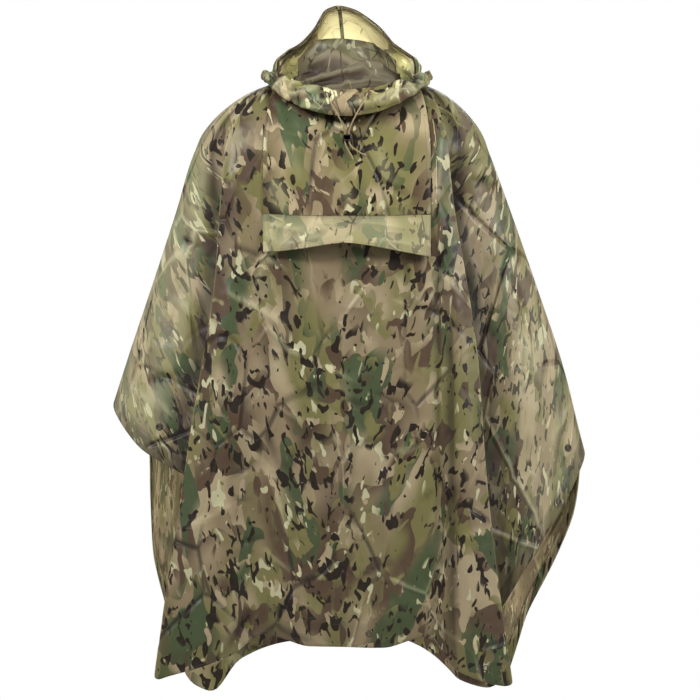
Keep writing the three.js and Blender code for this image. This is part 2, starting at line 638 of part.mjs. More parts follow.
// Hood: two halves that meet in a seam from the nape up to the peak

function hoodPoint(level, share, side) {
  const rows = HOOD_LEVELS.map((row, index) => ({ index, ...row }));
  const read = (column) => readTable(rows, 'index', level, column);
  const rimX = read(side < 0 ? 'rimLeft' : 'rimRight');
  const turn = toRadians(90 * share);
  const point = new THREE.Vector3(
    lerp(read('seamX'), rimX, Math.cos(turn) ** 0.72) + side * SEAM_GAP / 2,
    lerp(read('rimY'), read('seamY'), Math.sin(turn) ** 0.95),
    lerp(read('rimZ'), read('seamZ'), share),
  );
  point.x += side * HOOD_SIDE_FULLNESS * Math.sin(2 * turn) * Math.sin(Math.PI * level / 6);
  const ring = neckPoint(side * lerp(HOOD_SEAM_ANGLE, 180, share), HOOD_SEAM_INSET);
  ring.z -= HOOD_SEAM_DEPTH;
  if (share === 1) ring.x = side * SEAM_GAP / 2;
  return ring.lerp(point, easeBetween(0, 1, level));
}

function hoodGrid(side) {
  const grid = [];
  const rows = (HOOD_LEVELS.length - 1) * HOOD_ROWS_A_LEVEL;
  for (let row = rows; row >= 0; row -= 1) {
    grid.push(HOOD_SHARES.map((share) => hoodPoint(row / HOOD_ROWS_A_LEVEL, share, side)));
  }
  return side < 0 ? grid.map((row) => row.reverse()) : grid;
}

function addHoodHalf(name, side) {
  const grid = hoodGrid(side);
  const seams = side < 0 ? { first: 'x' } : { last: 'x' };
  const normals = gridNormals(grid, seams);
  addPiece(`hood_${name}`, wallBetween(grid, movedGrid(grid, normals, -CLOTH)), COLOURS.print);
  // the rim is the edge turned in round the face opening
  const edge = (rows) => rows.slice(0, -1).map((row) => (side < 0 ? row.slice(-2) : row.slice(0, 2)));
  const rim = movedGrid(edge(grid), edge(normals), -LAYER);
  const rimInside = movedGrid(rim, edge(normals), -CLOTH);
  addPiece(`hood_rim_${name}`, wallBetween(rim, rimInside), COLOURS.rim);
  return { grid, normals };
}

addHoodHalf('left', -1);
const hoodRight = addHoodHalf('right', 1);

// The strip inside that covers the hood's seam
const seamLine = hoodRight.grid.slice(1, -1).map((row) => row[row.length - 1]);
const seamOut = hoodRight.normals.slice(1, -1).map((row) => row[row.length - 1]);
const stripFace = (depth) => seamLine.map((point, i) => [1, 0, -1].map((side) => (
  point.clone().addScaledVector(seamOut[i], -depth).add(
    new THREE.Vector3(side * SEAM_STRIP_WIDTH / 2 - SEAM_GAP / 2, 0, 0)))));
addPiece('hood_seam_strip', wallBetween(
  stripFace(CLOTH + STRIP_GAP),
  stripFace(2 * CLOTH + STRIP_GAP),
), COLOURS.rim);

// Cowl: the roll of the hood's foot round the front of the neck

function ringPoint(angle, out, up) {
  const base = neckPoint(angle);
  const turn = toRadians(angle);
  return base.add(new THREE.Vector3(Math.sin(turn) * out, -Math.cos(turn) * out, up));
}

const frontness = (angle) => Math.max(Math.cos(toRadians(angle)), 0) ** 2;

function cowlProfile(angle) {
  const front = frontness(angle);
  return COWL_PROFILE.map((step) => ({
    out: lerp(step.sideOut, step.frontOut, front),
    up: lerp(step.sideUp, step.frontUp, front),
  }));
}

const anglesTo = (half) => {
  const count = Math.round((2 * half) / ANGLE_STEP);
  return Array.from({ length: count + 1 }, (_, index) => -half + index * ANGLE_STEP);
};

const cowlColumns = anglesTo(COWL_HALF_ANGLE).map((angle) => (
  cowlProfile(angle).map(({ out, up }) => ringPoint(angle, out, up))));
const cowlGrid = COWL_PROFILE.map((_, row) => cowlColumns.map((column) => column[row])).reverse();
addPiece('cowl', clothWall(cowlGrid), COLOURS.print);

// Throat folds: the plain inner cloth that drops inside the cowl in three folds

function throatPoint(angle, step) {
  const turn = toRadians(angle);
  const front = frontness(angle);
  const x = Math.sin(turn) * (NECK_HALF_WIDTH - step.inset * THROAT_NARROWING);
  const y = -Math.cos(turn) * (NECK_FRONT_DEPTH - step.inset);
  const floor = neckPoint(angle).z + lerp(THROAT_FLOOR_UP.side, THROAT_FLOOR_UP.front, front);
  if (!step.crest) return new THREE.Vector3(x, y, floor + step.over);
  const crest = Math.max(readTable(THROAT_CRESTS, 'x', x, step.crest), floor + THROAT_LEAST_RISE);
  return new THREE.Vector3(x, y, crest + step.over);
}

const throatAngles = anglesTo(THROAT_HALF_ANGLE);
const throatGrid = THROAT_PATH.map((step) => throatAngles.map((angle) => throatPoint(angle, step)));
addPiece('throat_folds', clothWall(throatGrid), COLOURS.inner);

// Turned band: the printed cloth that rises behind the throat folds and turns over

const throatEnd = throatGrid[throatGrid.length - 1];
const bandGrid = BAND_PATH.map((step) => throatEnd.map((foot) => {
  const top = readTable(BAND_TOPS, 'x', foot.x, 'top');
  const z = lerp(foot.z, top, step.rise) - step.drop;
  return new THREE.Vector3(foot.x, foot.y + step.back, z);
})).reverse();
addPiece('turned_band', clothWall(bandGrid), COLOURS.print);

// Small round parts are turned shapes set on a face of the cloth

// The middle of a grid cell, and the way its cloth faces.
function cellSpot(grid, row, column) {
  const [a, b] = [grid[row][column], grid[row + 1][column]];
  const [c, d] = [grid[row + 1][column + 1], grid[row][column + 1]];
  const centre = a.clone().add(b).add(c).add(d).multiplyScalar(0.25);
  const normal = b.clone().sub(d).cross(c.clone().sub(a)).normalize();
  return { centre, normal };
}

// The cell of a panel's grid whose middle is nearest to a place seen from the front.
function nearestCell(grid, x, z, facing) {
  let best = null;
  for (let row = 1; row < grid.length - 1; row += 1) {
    for (let column = 0; column < grid[0].length - 1; column += 1) {
      const spot = cellSpot(grid, row, column);
      const away = Math.hypot(spot.centre.x - x, spot.centre.z - z);
      const faces = spot.normal.y * facing > 0.3;
      if (faces && (!best || away < best.away)) best = { ...spot, away };
    }
  }
  return best;
}

function turnedPart(name, profile, spot, lift, colour) {
  const points = profile.map(([radius, height]) => new THREE.Vector2(radius, height));
  const mesh = addPiece(name, new THREE.LatheGeometry(points, ROUND_SIDES), colour, 0.5);
  mesh.position.copy(spot.centre).addScaledVector(spot.normal, lift);
  mesh.quaternion.setFromUnitVectors(new THREE.Vector3(0, 1, 0), spot.normal);
}

const SNAP_PROFILE = [
  [0, 0],
  [SNAP_RADIUS, 0],
  [SNAP_RADIUS, SNAP_HEIGHT * 0.5],
  [SNAP_RADIUS * 0.75, SNAP_HEIGHT],
  [SNAP_RADIUS * 0.4, SNAP_HEIGHT * 0.6],
  [0, SNAP_HEIGHT * 0.6],
];
for (const snap of SNAPS) {
  const onFront = snap.panel === 'front';
  const spot = nearestCell(onFront ? frontGrid : backGrid, snap.x, snap.z, onFront ? -1 : 1);
  turnedPart(snap.name, SNAP_PROFILE, spot, SNAP_LIFT, COLOURS.hardware);
}

const EYELET_PROFILE = [
  [EYELET.hole, 0],
  [EYELET.outer, 0],
  [EYELET.outer * 0.85, EYELET.height],
  [EYELET.hole * 1.15, EYELET.height],
  [EYELET.hole, EYELET.height * 0.6],
  [EYELET.hole, 0],
];
const eyeletRow = COWL_PROFILE.length - 1 - EYELET.profileStep - 1;
for (const { name, angle } of EYELETS) {
  const column = Math.floor((angle + COWL_HALF_ANGLE) / ANGLE_STEP);
  const spot = cellSpot(cowlGrid, eyeletRow, column);
  turnedPart(name, EYELET_PROFILE, spot, EYELET_LIFT, COLOURS.hardware);
}

// Drawcord: a run from each eyelet to the lock, and two tails below it

function addCord(name, points) {
  const route = new THREE.CatmullRomCurve3(points.map(([x, y, z]) => new THREE.Vector3(x, y, z)));
  const section = new THREE.Shape();
  for (let side = 0; side < CORD_SIDES; side += 1) {
    const turn = (2 * Math.PI * side) / CORD_SIDES;
    const corner = [Math.cos(turn) * CORD_DIAMETER / 2, Math.sin(turn) * CORD_DIAMETER / 2];
    if (side === 0) section.moveTo(...corner);
    else section.lineTo(...corner);
  }
  section.closePath();
  const steps = Math.max(6, Math.round(route.getLength() / (2.5 * CORD_DIAMETER)));
  addPiece(name, new THREE.ExtrudeGeometry(section, { steps, extrudePath: route }), COLOURS.cord);
}

for (const [name, points] of Object.entries(CORD_ROUTES)) addCord(name, points);

function lockGeometry() {
  const outline = new THREE.Shape();
  const [w, h] = [LOCK.width / 2, LOCK.height / 2];
  const corner = LOCK.corner;
  outline.moveTo(-w + corner, -h);
  outline.lineTo(w - corner, -h);
  outline.quadraticCurveTo(w, -h, w, -h + corner);
  outline.lineTo(w, h - corner);
  outline.quadraticCurveTo(w, h, w - corner, h);
  outline.lineTo(-w + corner, h);
  outline.quadraticCurveTo(-w, h, -w, h - corner);
  outline.lineTo(-w, -h + corner);
  outline.quadraticCurveTo(-w, -h, -w + corner, -h);
  const options = { depth: LOCK.depth, bevelEnabled: false, curveSegments: 3 };
  return new THREE.ExtrudeGeometry(outline, options).translate(0, 0, -LOCK.depth / 2);
}

const lock = addPiece('cord_lock', lockGeometry(), COLOURS.hardware, 0.45);
lock.rotation.x = Math.PI / 2;
lock.position.set(LOCK.x, LOCK.y, LOCK.z);

export default poncho;
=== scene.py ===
# The looks of a hooded rain poncho of thin coated nylon, filled out as if worn, with
# nobody in it. Metres, +Z up, the front faces -Y, and the origin is the middle of the
# neck opening. "Left" is -X, as seen from the front. Each sheet of cloth is a thin shell
# on the form of its solid in the frame, with its creases laid in.

import math

import bmesh
import bpy
import numpy as np
from mathutils import Matrix, Vector


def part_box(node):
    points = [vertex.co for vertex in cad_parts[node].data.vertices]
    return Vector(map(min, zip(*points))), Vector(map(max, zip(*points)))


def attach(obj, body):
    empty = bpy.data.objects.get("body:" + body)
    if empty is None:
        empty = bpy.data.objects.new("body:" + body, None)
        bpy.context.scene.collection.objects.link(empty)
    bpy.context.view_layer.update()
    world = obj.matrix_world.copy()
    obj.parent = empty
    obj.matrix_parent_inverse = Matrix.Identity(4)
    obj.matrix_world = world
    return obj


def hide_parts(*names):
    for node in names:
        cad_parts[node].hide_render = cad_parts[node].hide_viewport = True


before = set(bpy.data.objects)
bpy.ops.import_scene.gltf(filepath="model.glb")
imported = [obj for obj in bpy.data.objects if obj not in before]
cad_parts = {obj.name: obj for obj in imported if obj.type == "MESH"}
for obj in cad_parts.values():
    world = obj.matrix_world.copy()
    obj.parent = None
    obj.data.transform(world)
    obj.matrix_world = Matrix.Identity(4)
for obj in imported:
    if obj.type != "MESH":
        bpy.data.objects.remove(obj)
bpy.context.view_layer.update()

MM = 0.001
BODY = "root"

# Camera: level, in front, far enough back that the cloth shows nearly flat

CAMERA_PLACE = (0.006, -10.0, -0.526)
CAMERA_LENS = 257.0

camera_data = bpy.data.cameras.new("camera")
camera_data.lens = CAMERA_LENS
camera_data.sensor_width = 36.0
camera_data.clip_end = 100.0
camera = bpy.data.objects.new("camera", camera_data)
camera.location = CAMERA_PLACE
camera.rotation_euler = (math.radians(90), 0, 0)
bpy.context.scene.collection.objects.link(camera)
bpy.context.scene.camera = camera

# Colours, as a screen shows them in plain light


def screen_colour(red, green, blue):
    """A colour given in screen values from 0 to 255, as the shader wants it."""
    shares = [channel / 255 for channel in (red, green, blue)]
    linear = [s / 12.92 if s <= 0.04045 else ((s + 0.055) / 1.055) ** 2.4 for s in shares]
    return (*linear, 1.0)


TAN = screen_colour(142, 125, 97)
SAND = screen_colour(174, 158, 126)
OLIVE = screen_colour(122, 117, 72)
GREEN = screen_colour(70, 84, 54)
BROWN = screen_colour(86, 68, 52)
DARK_BROWN = screen_colour(28, 19, 14)
CREAM = screen_colour(194, 190, 152)
TAUPE = screen_colour(68, 56, 39)
# pale, as painted light shining through the thin hood
HOOD_LINING_LIT_THROUGH = screen_colour(250, 238, 178)
CORD_TAN = screen_colour(168, 152, 106)
LOCK_BLACK = screen_colour(46, 38, 36)
SNAP_PAINT = screen_colour(74, 68, 56)
THREAD = screen_colour(112, 102, 74)

# Materials


class Shading:
    """A new material and short ways to add nodes to it."""

    def __init__(self, name):
        self.material = bpy.data.materials.new(name)
        self.material.use_nodes = True
        self.tree = self.material.node_tree
        self.shader = self.tree.nodes["Principled BSDF"]
        self.coordinates = self.tree.nodes.new("ShaderNodeTexCoord")

    def plug(self, socket, value):
        if isinstance(value, bpy.types.NodeSocket):
            self.tree.links.new(value, socket)
        else:
            socket.default_value = value

    def place(self, stretch=(1, 1, 1), shift=(0, 0, 0), source="Object"):
        """The place on the piece, with each direction scaled and moved."""
        mapping = self.tree.nodes.new("ShaderNodeMapping")
        self.plug(mapping.inputs["Vector"], self.coordinates.outputs[source])
        mapping.inputs["Scale"].default_value = stretch
        mapping.inputs["Location"].default_value = shift
        return mapping.outputs["Vector"]

    def noise(self, place, scale, detail=2.0, roughness=0.5, distortion=0.0):
        texture = self.tree.nodes.new("ShaderNodeTexNoise")
        self.plug(texture.inputs["Vector"], place)
        texture.inputs["Scale"].default_value = scale
        texture.inputs["Detail"].default_value = detail
        texture.inputs["Roughness"].default_value = roughness
        texture.inputs["Distortion"].default_value = distortion
        return texture.outputs["Fac"]

    def step(self, value, low, high):
        """0 below low, 1 above high, and a ramp between them."""
        ramp = self.tree.nodes.new("ShaderNodeMapRange")
        ramp.interpolation_type = "SMOOTHSTEP"
        self.plug(ramp.inputs["Value"], value)
        ramp.inputs["From Min"].default_value = low
        ramp.inputs["From Max"].default_value = high
        return ramp.outputs["Result"]

    def maths(self, operation, first, second=0.5):
        node = self.tree.nodes.new("ShaderNodeMath")
        node.operation = operation
        self.plug(node.inputs[0], first)
        self.plug(node.inputs[1], second)
        return node.outputs[0]

    def mix(self, share, first, second, blend="MIX"):
        node = self.tree.nodes.new("ShaderNodeMix")
        node.data_type = "RGBA"
        node.blend_type = blend
        self.plug(node.inputs["Factor"], share)
        self.plug(node.inputs["A"], first)
        self.plug(node.inputs["B"], second)
        return node.outputs["Result"]

    def channels(self, vector):
        node = self.tree.nodes.new("ShaderNodeSeparateXYZ")
        self.plug(node.inputs[0], vector)
        return node.outputs

    def attribute(self, name):
        node = self.tree.nodes.new("ShaderNodeAttribute")
        node.attribute_name = name
        return node.outputs["Fac"]

    def bump(self, height, strength, distance, under=None):
        node = self.tree.nodes.new("ShaderNodeBump")
        self.plug(node.inputs["Height"], height)
        node.inputs["Strength"].default_value = strength
        node.inputs["Distance"].default_value = distance
        if under is not None:
            self.plug(node.inputs["Normal"], under)
        return node.outputs["Normal"]

    def finish(self, colour, roughness, normal=None, **sockets):
        self.plug(self.shader.inputs["Base Color"], colour)
        self.plug(self.shader.inputs["Roughness"], roughness)
        if normal is not None:
            self.plug(self.shader.inputs["Normal"], normal)
        for name, value in sockets.items():
            self.shader.inputs[name.replace("_", " ")].default_value = value
        return self.material


HEM_PAINTED_SHADE = "hem_painted_shade"  # painted shade along a hem and along the hood's rim, from 0 to 1
PAINTED_LIGHT_AND_SHADE = "painted_light_and_shade"  # painted highlight up to 1, on the ridge of a sharp crease and as sheen; painted shade down to -1, in a trough and in shadow
RIPSTOP_CELL = 5 * MM
THREAD_PITCH = 0.5 * MM


def ripstop(shading):
    """The weave: fine threads with a heavier one every few millimetres, both ways."""
    across, along = shading.channels(shading.coordinates.outputs["UV"])[:2]
    height = 0.0
    for place in (across, along):
        turn = shading.maths("MULTIPLY", place, 2 * math.pi / RIPSTOP_CELL)
        heavy = shading.maths("COSINE", turn)
        heavy = shading.step(heavy, 0.82, 1.0)
        turn = shading.maths("MULTIPLY", place, 2 * math.pi / THREAD_PITCH)
        fine = shading.maths("MULTIPLY", shading.maths("COSINE", turn), 0.25)
        height = shading.maths("ADD", shading.maths("ADD", heavy, fine), height)
    return shading.bump(height, 0.25, 0.08 * MM)


def small_wrinkles(shading, under, strength=0.5):
    """The small soft wrinkles of thin coated cloth."""
    place = shading.place(stretch=(1, 1, 0.6))
    soft = shading.noise(place, 17, detail=2, roughness=0.5, distortion=0.25)
    ridge = shading.maths("ABSOLUTE", shading.maths(
        "SUBTRACT", shading.noise(place, 8, detail=1.2, roughness=0.4), 0.5))
    ridge = shading.step(ridge, 0.0, 0.035)
    height = shading.maths("ADD", soft, shading.maths("MULTIPLY", ridge, 0.09))
    return shading.bump(height, strength, 16 * MM, under)


def sharp_folds(shading, size, under):
    """Straight sharp folds that fade in and out, some raised and some pressed in, as
    their height from -1 to 1 and as a bump."""
    cells = shading.tree.nodes.new("ShaderNodeTexVoronoi")
    cells.feature = "DISTANCE_TO_EDGE"
    place = shading.place(stretch=(1, 1, 0.62))
    shading.plug(cells.inputs["Vector"], place)
    cells.inputs["Scale"].default_value = 1 / size
    line = shading.step(cells.outputs["Distance"], 0.032, 0.0)
    swing = shading.step(shading.noise(place, 1.1 / size, detail=1), 0.36, 0.64)
    swing = shading.maths("SUBTRACT", shading.maths("MULTIPLY", swing, 2.0), 1.0)
    height = shading.maths("MULTIPLY", line, swing)
    return height, shading.bump(height, 0.9, 0.024 * size, under)


def wear_and_painted_light(shading, colour, height, strength=1.0):
    """The cloth gets a painted highlight on a ridge and a painted shade in a trough: on the sharp
    folds, and from the marks laid on the mesh, its creases' and the other painted light and
    shade."""
    height = shading.maths("ADD", shading.attribute(PAINTED_LIGHT_AND_SHADE),
                           shading.maths("MULTIPLY", height, 0.75))
    painted_highlight = shading.maths("MULTIPLY", shading.maths("MAXIMUM", height, 0.0), 0.5 * strength)
    colour = shading.mix(painted_highlight, colour, CREAM)
    painted_shade = shading.maths("MULTIPLY", shading.maths("MINIMUM", height, 0.0), -0.7 * strength)
    return shading.mix(painted_shade, colour, DARK_BROWN)


def camouflage(name, shift=(0, 0, 0), shade=1.0, wash=None, washed=0.0, folds=170 * MM):
    """A general camouflage print: patches of four colours, crisp on one side and faded
    into the cloth on the other, with rounded dark and cream flecks that run up and
    down. A share of it is washed over with one colour."""
    shading = Shading(name)
    broad, tall, low = (
        shading.place(stretch=(1, squash, 1), source="UV",
                      shift=(shift[0] + aside, shift[1] + aside / 2, shift[2]))
        for squash, aside in ((0.68, 0), (0.46, 3), (0.52, -5)))

    ground = shading.noise(broad, 9, detail=1.5, distortion=0.4)
    colour = shading.mix(shading.step(ground, 0.40, 0.62), TAN, SAND)
    colour = shading.mix(shading.step(shading.noise(tall, 8, detail=1.5), 0.44, 0.62),
                         colour, OLIVE)
    for tint, scale, edge, place in (
            (BROWN, 11, 0.50, broad), (GREEN, 13, 0.535, tall), (OLIVE, 17, 0.575, broad),
            (BROWN, 21, 0.59, low), (SAND, 24, 0.63, broad)):
        patch = shading.noise(place, scale, detail=2.2, roughness=0.45, distortion=0.55)
        crisp = shading.step(patch, edge, edge + 0.008)
        fade = shading.step(shading.noise(broad, scale * 0.8, detail=0), 0.34, 0.60)
        colour = shading.mix(shading.maths("MULTIPLY", crisp, fade), colour, tint)
    # the flecks stand together in groups
    for tint, place, group_scale, group_edge, scale, edge in (
            (CREAM, low, 12, 0.50, 52, 0.63), (DARK_BROWN, broad, 10, 0.42, 46, 0.602),
            (DARK_BROWN, low, 13, 0.45, 74, 0.635)):
        group = shading.step(shading.noise(place, group_scale, detail=1), group_edge,
                             group_edge + 0.05)
        fleck = shading.noise(place, scale, detail=1.1, roughness=0.4, distortion=0.6)
        fleck = shading.step(fleck, edge, edge + 0.014)
        colour = shading.mix(shading.maths("MULTIPLY", fleck, group), colour, tint)
    if washed:
        colour = shading.mix(washed, colour, wash)
    # the print is a little uneven, with a painted highlight on sharp creases, painted shade in
    # the troughs, and painted shade along the hems
    uneven = shading.noise(shading.place(), 90, detail=4)
    colour = shading.mix(shading.maths("MULTIPLY", uneven, 0.05), colour, SAND)
    fold_height, normal = sharp_folds(shading, folds, ripstop(shading))
    colour = wear_and_painted_light(shading, colour, fold_height)
    hem_shade_amount = shading.maths("MULTIPLY", shading.attribute(HEM_PAINTED_SHADE), 0.42)
    colour = shading.mix(hem_shade_amount, colour, DARK_BROWN)
    if shade != 1.0:
        colour = shading.mix(1.0, colour, (shade, shade, shade * 0.96, 1), "MULTIPLY")
    normal = small_wrinkles(shading, normal)
    rough = shading.step(shading.noise(shading.place(), 40, detail=2), 0.2, 0.9)
    rough = shading.maths("ADD", shading.maths("MULTIPLY", rough, 0.16), 0.38)
    return shading.finish(colour, rough, normal, Specular_IOR_Level=0.24)


def plain_lining(name, colour, strength=0.5):
    """The plain coated reverse of the cloth."""
    shading = Shading(name)
    cloudy = shading.noise(shading.place(stretch=(1, 1, 0.6)), 12, detail=4)
    tint = shading.mix(shading.maths("MULTIPLY", cloudy, 0.35), colour, DARK_BROWN)
    fold_height, normal = sharp_folds(shading, 60 * MM, ripstop(shading))
    # painted highlight on the folds' ridges, painted shade in their troughs
    tint = wear_and_painted_light(shading, tint, fold_height, 0.8)
    normal = small_wrinkles(shading, normal, strength)
    rough = shading.maths("ADD", shading.maths("MULTIPLY", cloudy, 0.2), 0.48)
    return shading.finish(tint, rough, normal, Specular_IOR_Level=0.3)


def braid(name):
    """Round braided cord: the strands themselves are in its mesh."""
    shading = Shading(name)
    fibres = shading.noise(shading.place(stretch=(1, 1, 1)), 2600, detail=3)
    tint = shading.mix(shading.maths("MULTIPLY", fibres, 0.5), CORD_TAN, BROWN)
    normal = shading.bump(fibres, 0.5, 0.15 * MM)
    return shading.finish(tint, 0.82, normal, Sheen_Weight=0.25)


def painted_metal(name):
    """Dull paint on small stamped metal, worn through a little on its edges."""
    shading = Shading(name)
    wear_and_painted_light = shading.step(shading.noise(shading.place(), 900, detail=5), 0.58, 0.68)
    tint = shading.mix(wear_and_painted_light, SNAP_PAINT, screen_colour(118, 110, 92))
    normal = shading.bump(shading.noise(shading.place(), 2400, detail=2), 0.25, 0.06 * MM)
    rough = shading.maths("SUBTRACT", 0.5, shading.maths("MULTIPLY", wear_and_painted_light, 0.16))
    return shading.finish(tint, rough, normal, Metallic=0.35)


def moulded_plastic(name):
    """Dark moulded plastic with a fine sparked grain."""
    shading = Shading(name)
    grain = shading.noise(shading.place(), 3200, detail=3)
    scuffed = shading.step(shading.noise(shading.place(), 320, detail=4), 0.55, 0.75)
    tint = shading.mix(shading.maths("MULTIPLY", scuffed, 0.3), LOCK_BLACK, BROWN)
    normal = shading.bump(grain, 0.35, 0.07 * MM)
    return shading.finish(tint, 0.46, normal)


def sewing_thread(name):
    shading = Shading(name)
    twist = shading.noise(shading.place(), 5200, detail=2)
    tint = shading.mix(shading.maths("MULTIPLY", twist, 0.5), THREAD, DARK_BROWN)
    return shading.finish(tint, 0.62, shading.bump(twist, 0.4, 0.05 * MM))


PRINT = camouflage("camouflage_print")
PRINT_CHEST = camouflage("camouflage_print_chest", shift=(2.3, 0.4, 1.1), shade=1.08)
PRINT_FLAP = camouflage("camouflage_print_flap", shift=(5.1, 0.7, 2.7), shade=1.1,
                        wash=CREAM, washed=0.26, folds=70 * MM)
PRINT_BACK = camouflage("camouflage_print_back", shift=(7.7, 1.4, 0.3))
# a brighter copy of the print, shade 1.5 with a sand wash: painted light on the panels' inner
# sides and the hems, which lie in shade
PRINT_INSIDE_LIT = camouflage("camouflage_print_inside_painted_light", shift=(4.7, 5.4, 3.3), shade=1.5,
                          wash=SAND, washed=0.3)
PRINT_HEM = camouflage("camouflage_print_hem", shift=(1.9, 3.4, 5.3), shade=0.9)
PRINT_HOOD = camouflage("camouflage_print_hood", shift=(3.3, 2.2, 4.1), folds=60 * MM)
PRINT_COWL = camouflage("camouflage_print_cowl", shift=(6.3, 4.2, 1.7), shade=1.1,
                        folds=48 * MM)
# a darker copy of the print, shade 0.37: painted shade on the turned band
PRINT_BAND_SHADED = camouflage("camouflage_print_band_painted_shade", shift=(8.3, 1.2, 2.1), shade=0.37,
                        wash=CREAM, washed=0.2, folds=50 * MM)
# a far brighter copy of the print, shade 2.5: painted light on the hood's inner sides where the
# print is turned over, which get little light
PRINT_TURNED_LIT = camouflage("camouflage_print_turned_painted_light", shift=(10.6, 2.2, 0.4), shade=2.5,
                          wash=CREAM, washed=0.14, folds=36 * MM)
LINING = plain_lining("plain_inner_cloth", TAUPE)
# the lining's pale wash is painted light: the light that shines through the thin hood
LINING_HOOD_LIT_THROUGH = camouflage("hood_inner_cloth_painted_backlight", shift=(3.3, 2.2, 4.1), wash=HOOD_LINING_LIT_THROUGH,
                         washed=0.84, folds=40 * MM)
# a darker copy of the print, shade 0.3: painted shade on the hood's turned rims, shared by the
# strip over the hood's seam
BINDING_SHADED = camouflage("dark_binding", shift=(2.9, 6.2, 0.9), shade=0.3)
BRAID = braid("braided_cord")
SNAP_METAL = painted_metal("snap_metal")
LOCK_PLASTIC = moulded_plastic("lock_plastic")
STITCH_THREAD = sewing_thread("stitch_thread")

# Pieces


def add_piece(name, mesh_data, replaces=(), materials=()):
    """Puts a finished mesh into the scene as a piece that goes with the body."""
    piece = bpy.data.objects.new(name, mesh_data)
    bpy.context.scene.collection.objects.link(piece)
    for material in materials:
        mesh_data.materials.append(material)
    for face in mesh_data.polygons:
        face.use_smooth = True
    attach(piece, BODY)
    if replaces:
        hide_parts(*replaces)
    return piece


# Drawcord: a braided tube along each free stretch

CORD_DIAMETER = 3 * MM
CORD_ROUTES = {
    "drawcord_left": [
        (-39.5, -154.1, -23.1), (-39.9, -156.8, -21.6), (-39.9, -160.6, -20.8),
        (-39.2, -164.2, -22.4), (-38, -166.6, -26.6), (-35.5, -167.3, -32.5),
        (-30, -167.6, -42), (-24, -167.6, -52), (-16, -167, -67), (-9, -162.8, -81),
        (-5, -157, -92), (-4, -155.1, -97.5), (-4, -154.9, -101.7)],
    "drawcord_right": [
        (39.5, -154.1, -23.1), (39.9, -156.8, -21.6), (39.9, -160.6, -20.8),
        (39.2, -164.2, -22.4), (38, -166.6, -26.6), (35.5, -167.3, -32.5),
        (30, -167.6, -42), (24, -167.6, -52), (16, -167, -67), (9, -162.8, -81),
        (5, -157, -92), (4, -155.1, -97.5), (4, -154.9, -101.7)],
    "drawcord_tail_left": [
        (-4, -154.9, -112.4), (-3.8, -155.2, -117.5), (-1, -155.4, -125.5),
        (3.5, -155.5, -134), (8.5, -155.6, -142), (12.5, -156, -150)],
    "drawcord_tail_right": [
        (4, -154.9, -112.5), (4.6, -155.1, -117), (10, -155.3, -126), (19.5, -155.4, -133),
        (28, -155.4, -138.5), (37, -155.6, -142.5)],
}
CORD_STEP = 0.5 * MM
CORD_SIDES = 16
STRANDS = 8
STRAND_DEPTH = 0.06  # of the cord's radius
BRAID_PITCH = 9 * MM  # one turn of a strand


def finer(points, steps):
    """A row of points on a smooth curve through them, with so many steps to each."""
    points = np.asarray(points, dtype=float)
    before = 2 * points[0] - points[1]
    after = 2 * points[-1] - points[-2]
    padded = np.concatenate([[before], points, [after]])
    a, b, c, d = (padded[i:len(padded) - 3 + i] for i in range(4))
    rows = []
    for step in range(steps):
        t = step / steps
        rows.append(0.5 * (2 * b + (c - a) * t + (2 * a - 5 * b + 4 * c - d) * t * t
                           + (3 * b - a - 3 * c + d) * t ** 3))
    rows = np.stack(rows, axis=1).reshape(-1, *points.shape[1:])
    return np.concatenate([rows, points[-1:]])


def even_path(points, spacing):
    """The same curve with its points an even distance apart, and its length."""
    curve = finer(points, 24)
    lengths = np.linalg.norm(np.diff(curve, axis=0), axis=1)
    along = np.concatenate([[0], np.cumsum(lengths)])
    places = np.linspace(0, along[-1], max(2, round(along[-1] / spacing)) + 1)
    path = np.stack([np.interp(places, along, curve[:, axis]) for axis in range(3)], axis=1)
    return path, float(along[-1])


def grid_mesh(points, uv=None, marks=None):
    """A mesh of four-sided faces through rows of points, with a flat map in metres and
    the named marks on its points."""
    rows, columns = points.shape[:2]
    mesh = bmesh.new()
    bmesh.ops.create_grid(mesh, x_segments=columns - 1, y_segments=rows - 1, size=0.5)
    for vert, place in zip(mesh.verts, points.reshape(-1, 3)):
        vert.co = place
    if uv is not None:
        flat = uv.reshape(-1, 2)
        layer = mesh.loops.layers.uv.new("cloth")
        mesh.verts.index_update()
        for face in mesh.faces:
            for loop in face.loops:
                loop[layer].uv = flat[loop.vert.index]
    for name, values in (marks or {}).items():
        layer = mesh.verts.layers.float.new(name)
        for vert, value in zip(mesh.verts, values.reshape(-1)):
            vert[layer] = value
    return mesh


def finished_mesh(name, mesh):
    data = bpy.data.meshes.new(name)
    mesh.to_mesh(data)
    mesh.free()
    return data


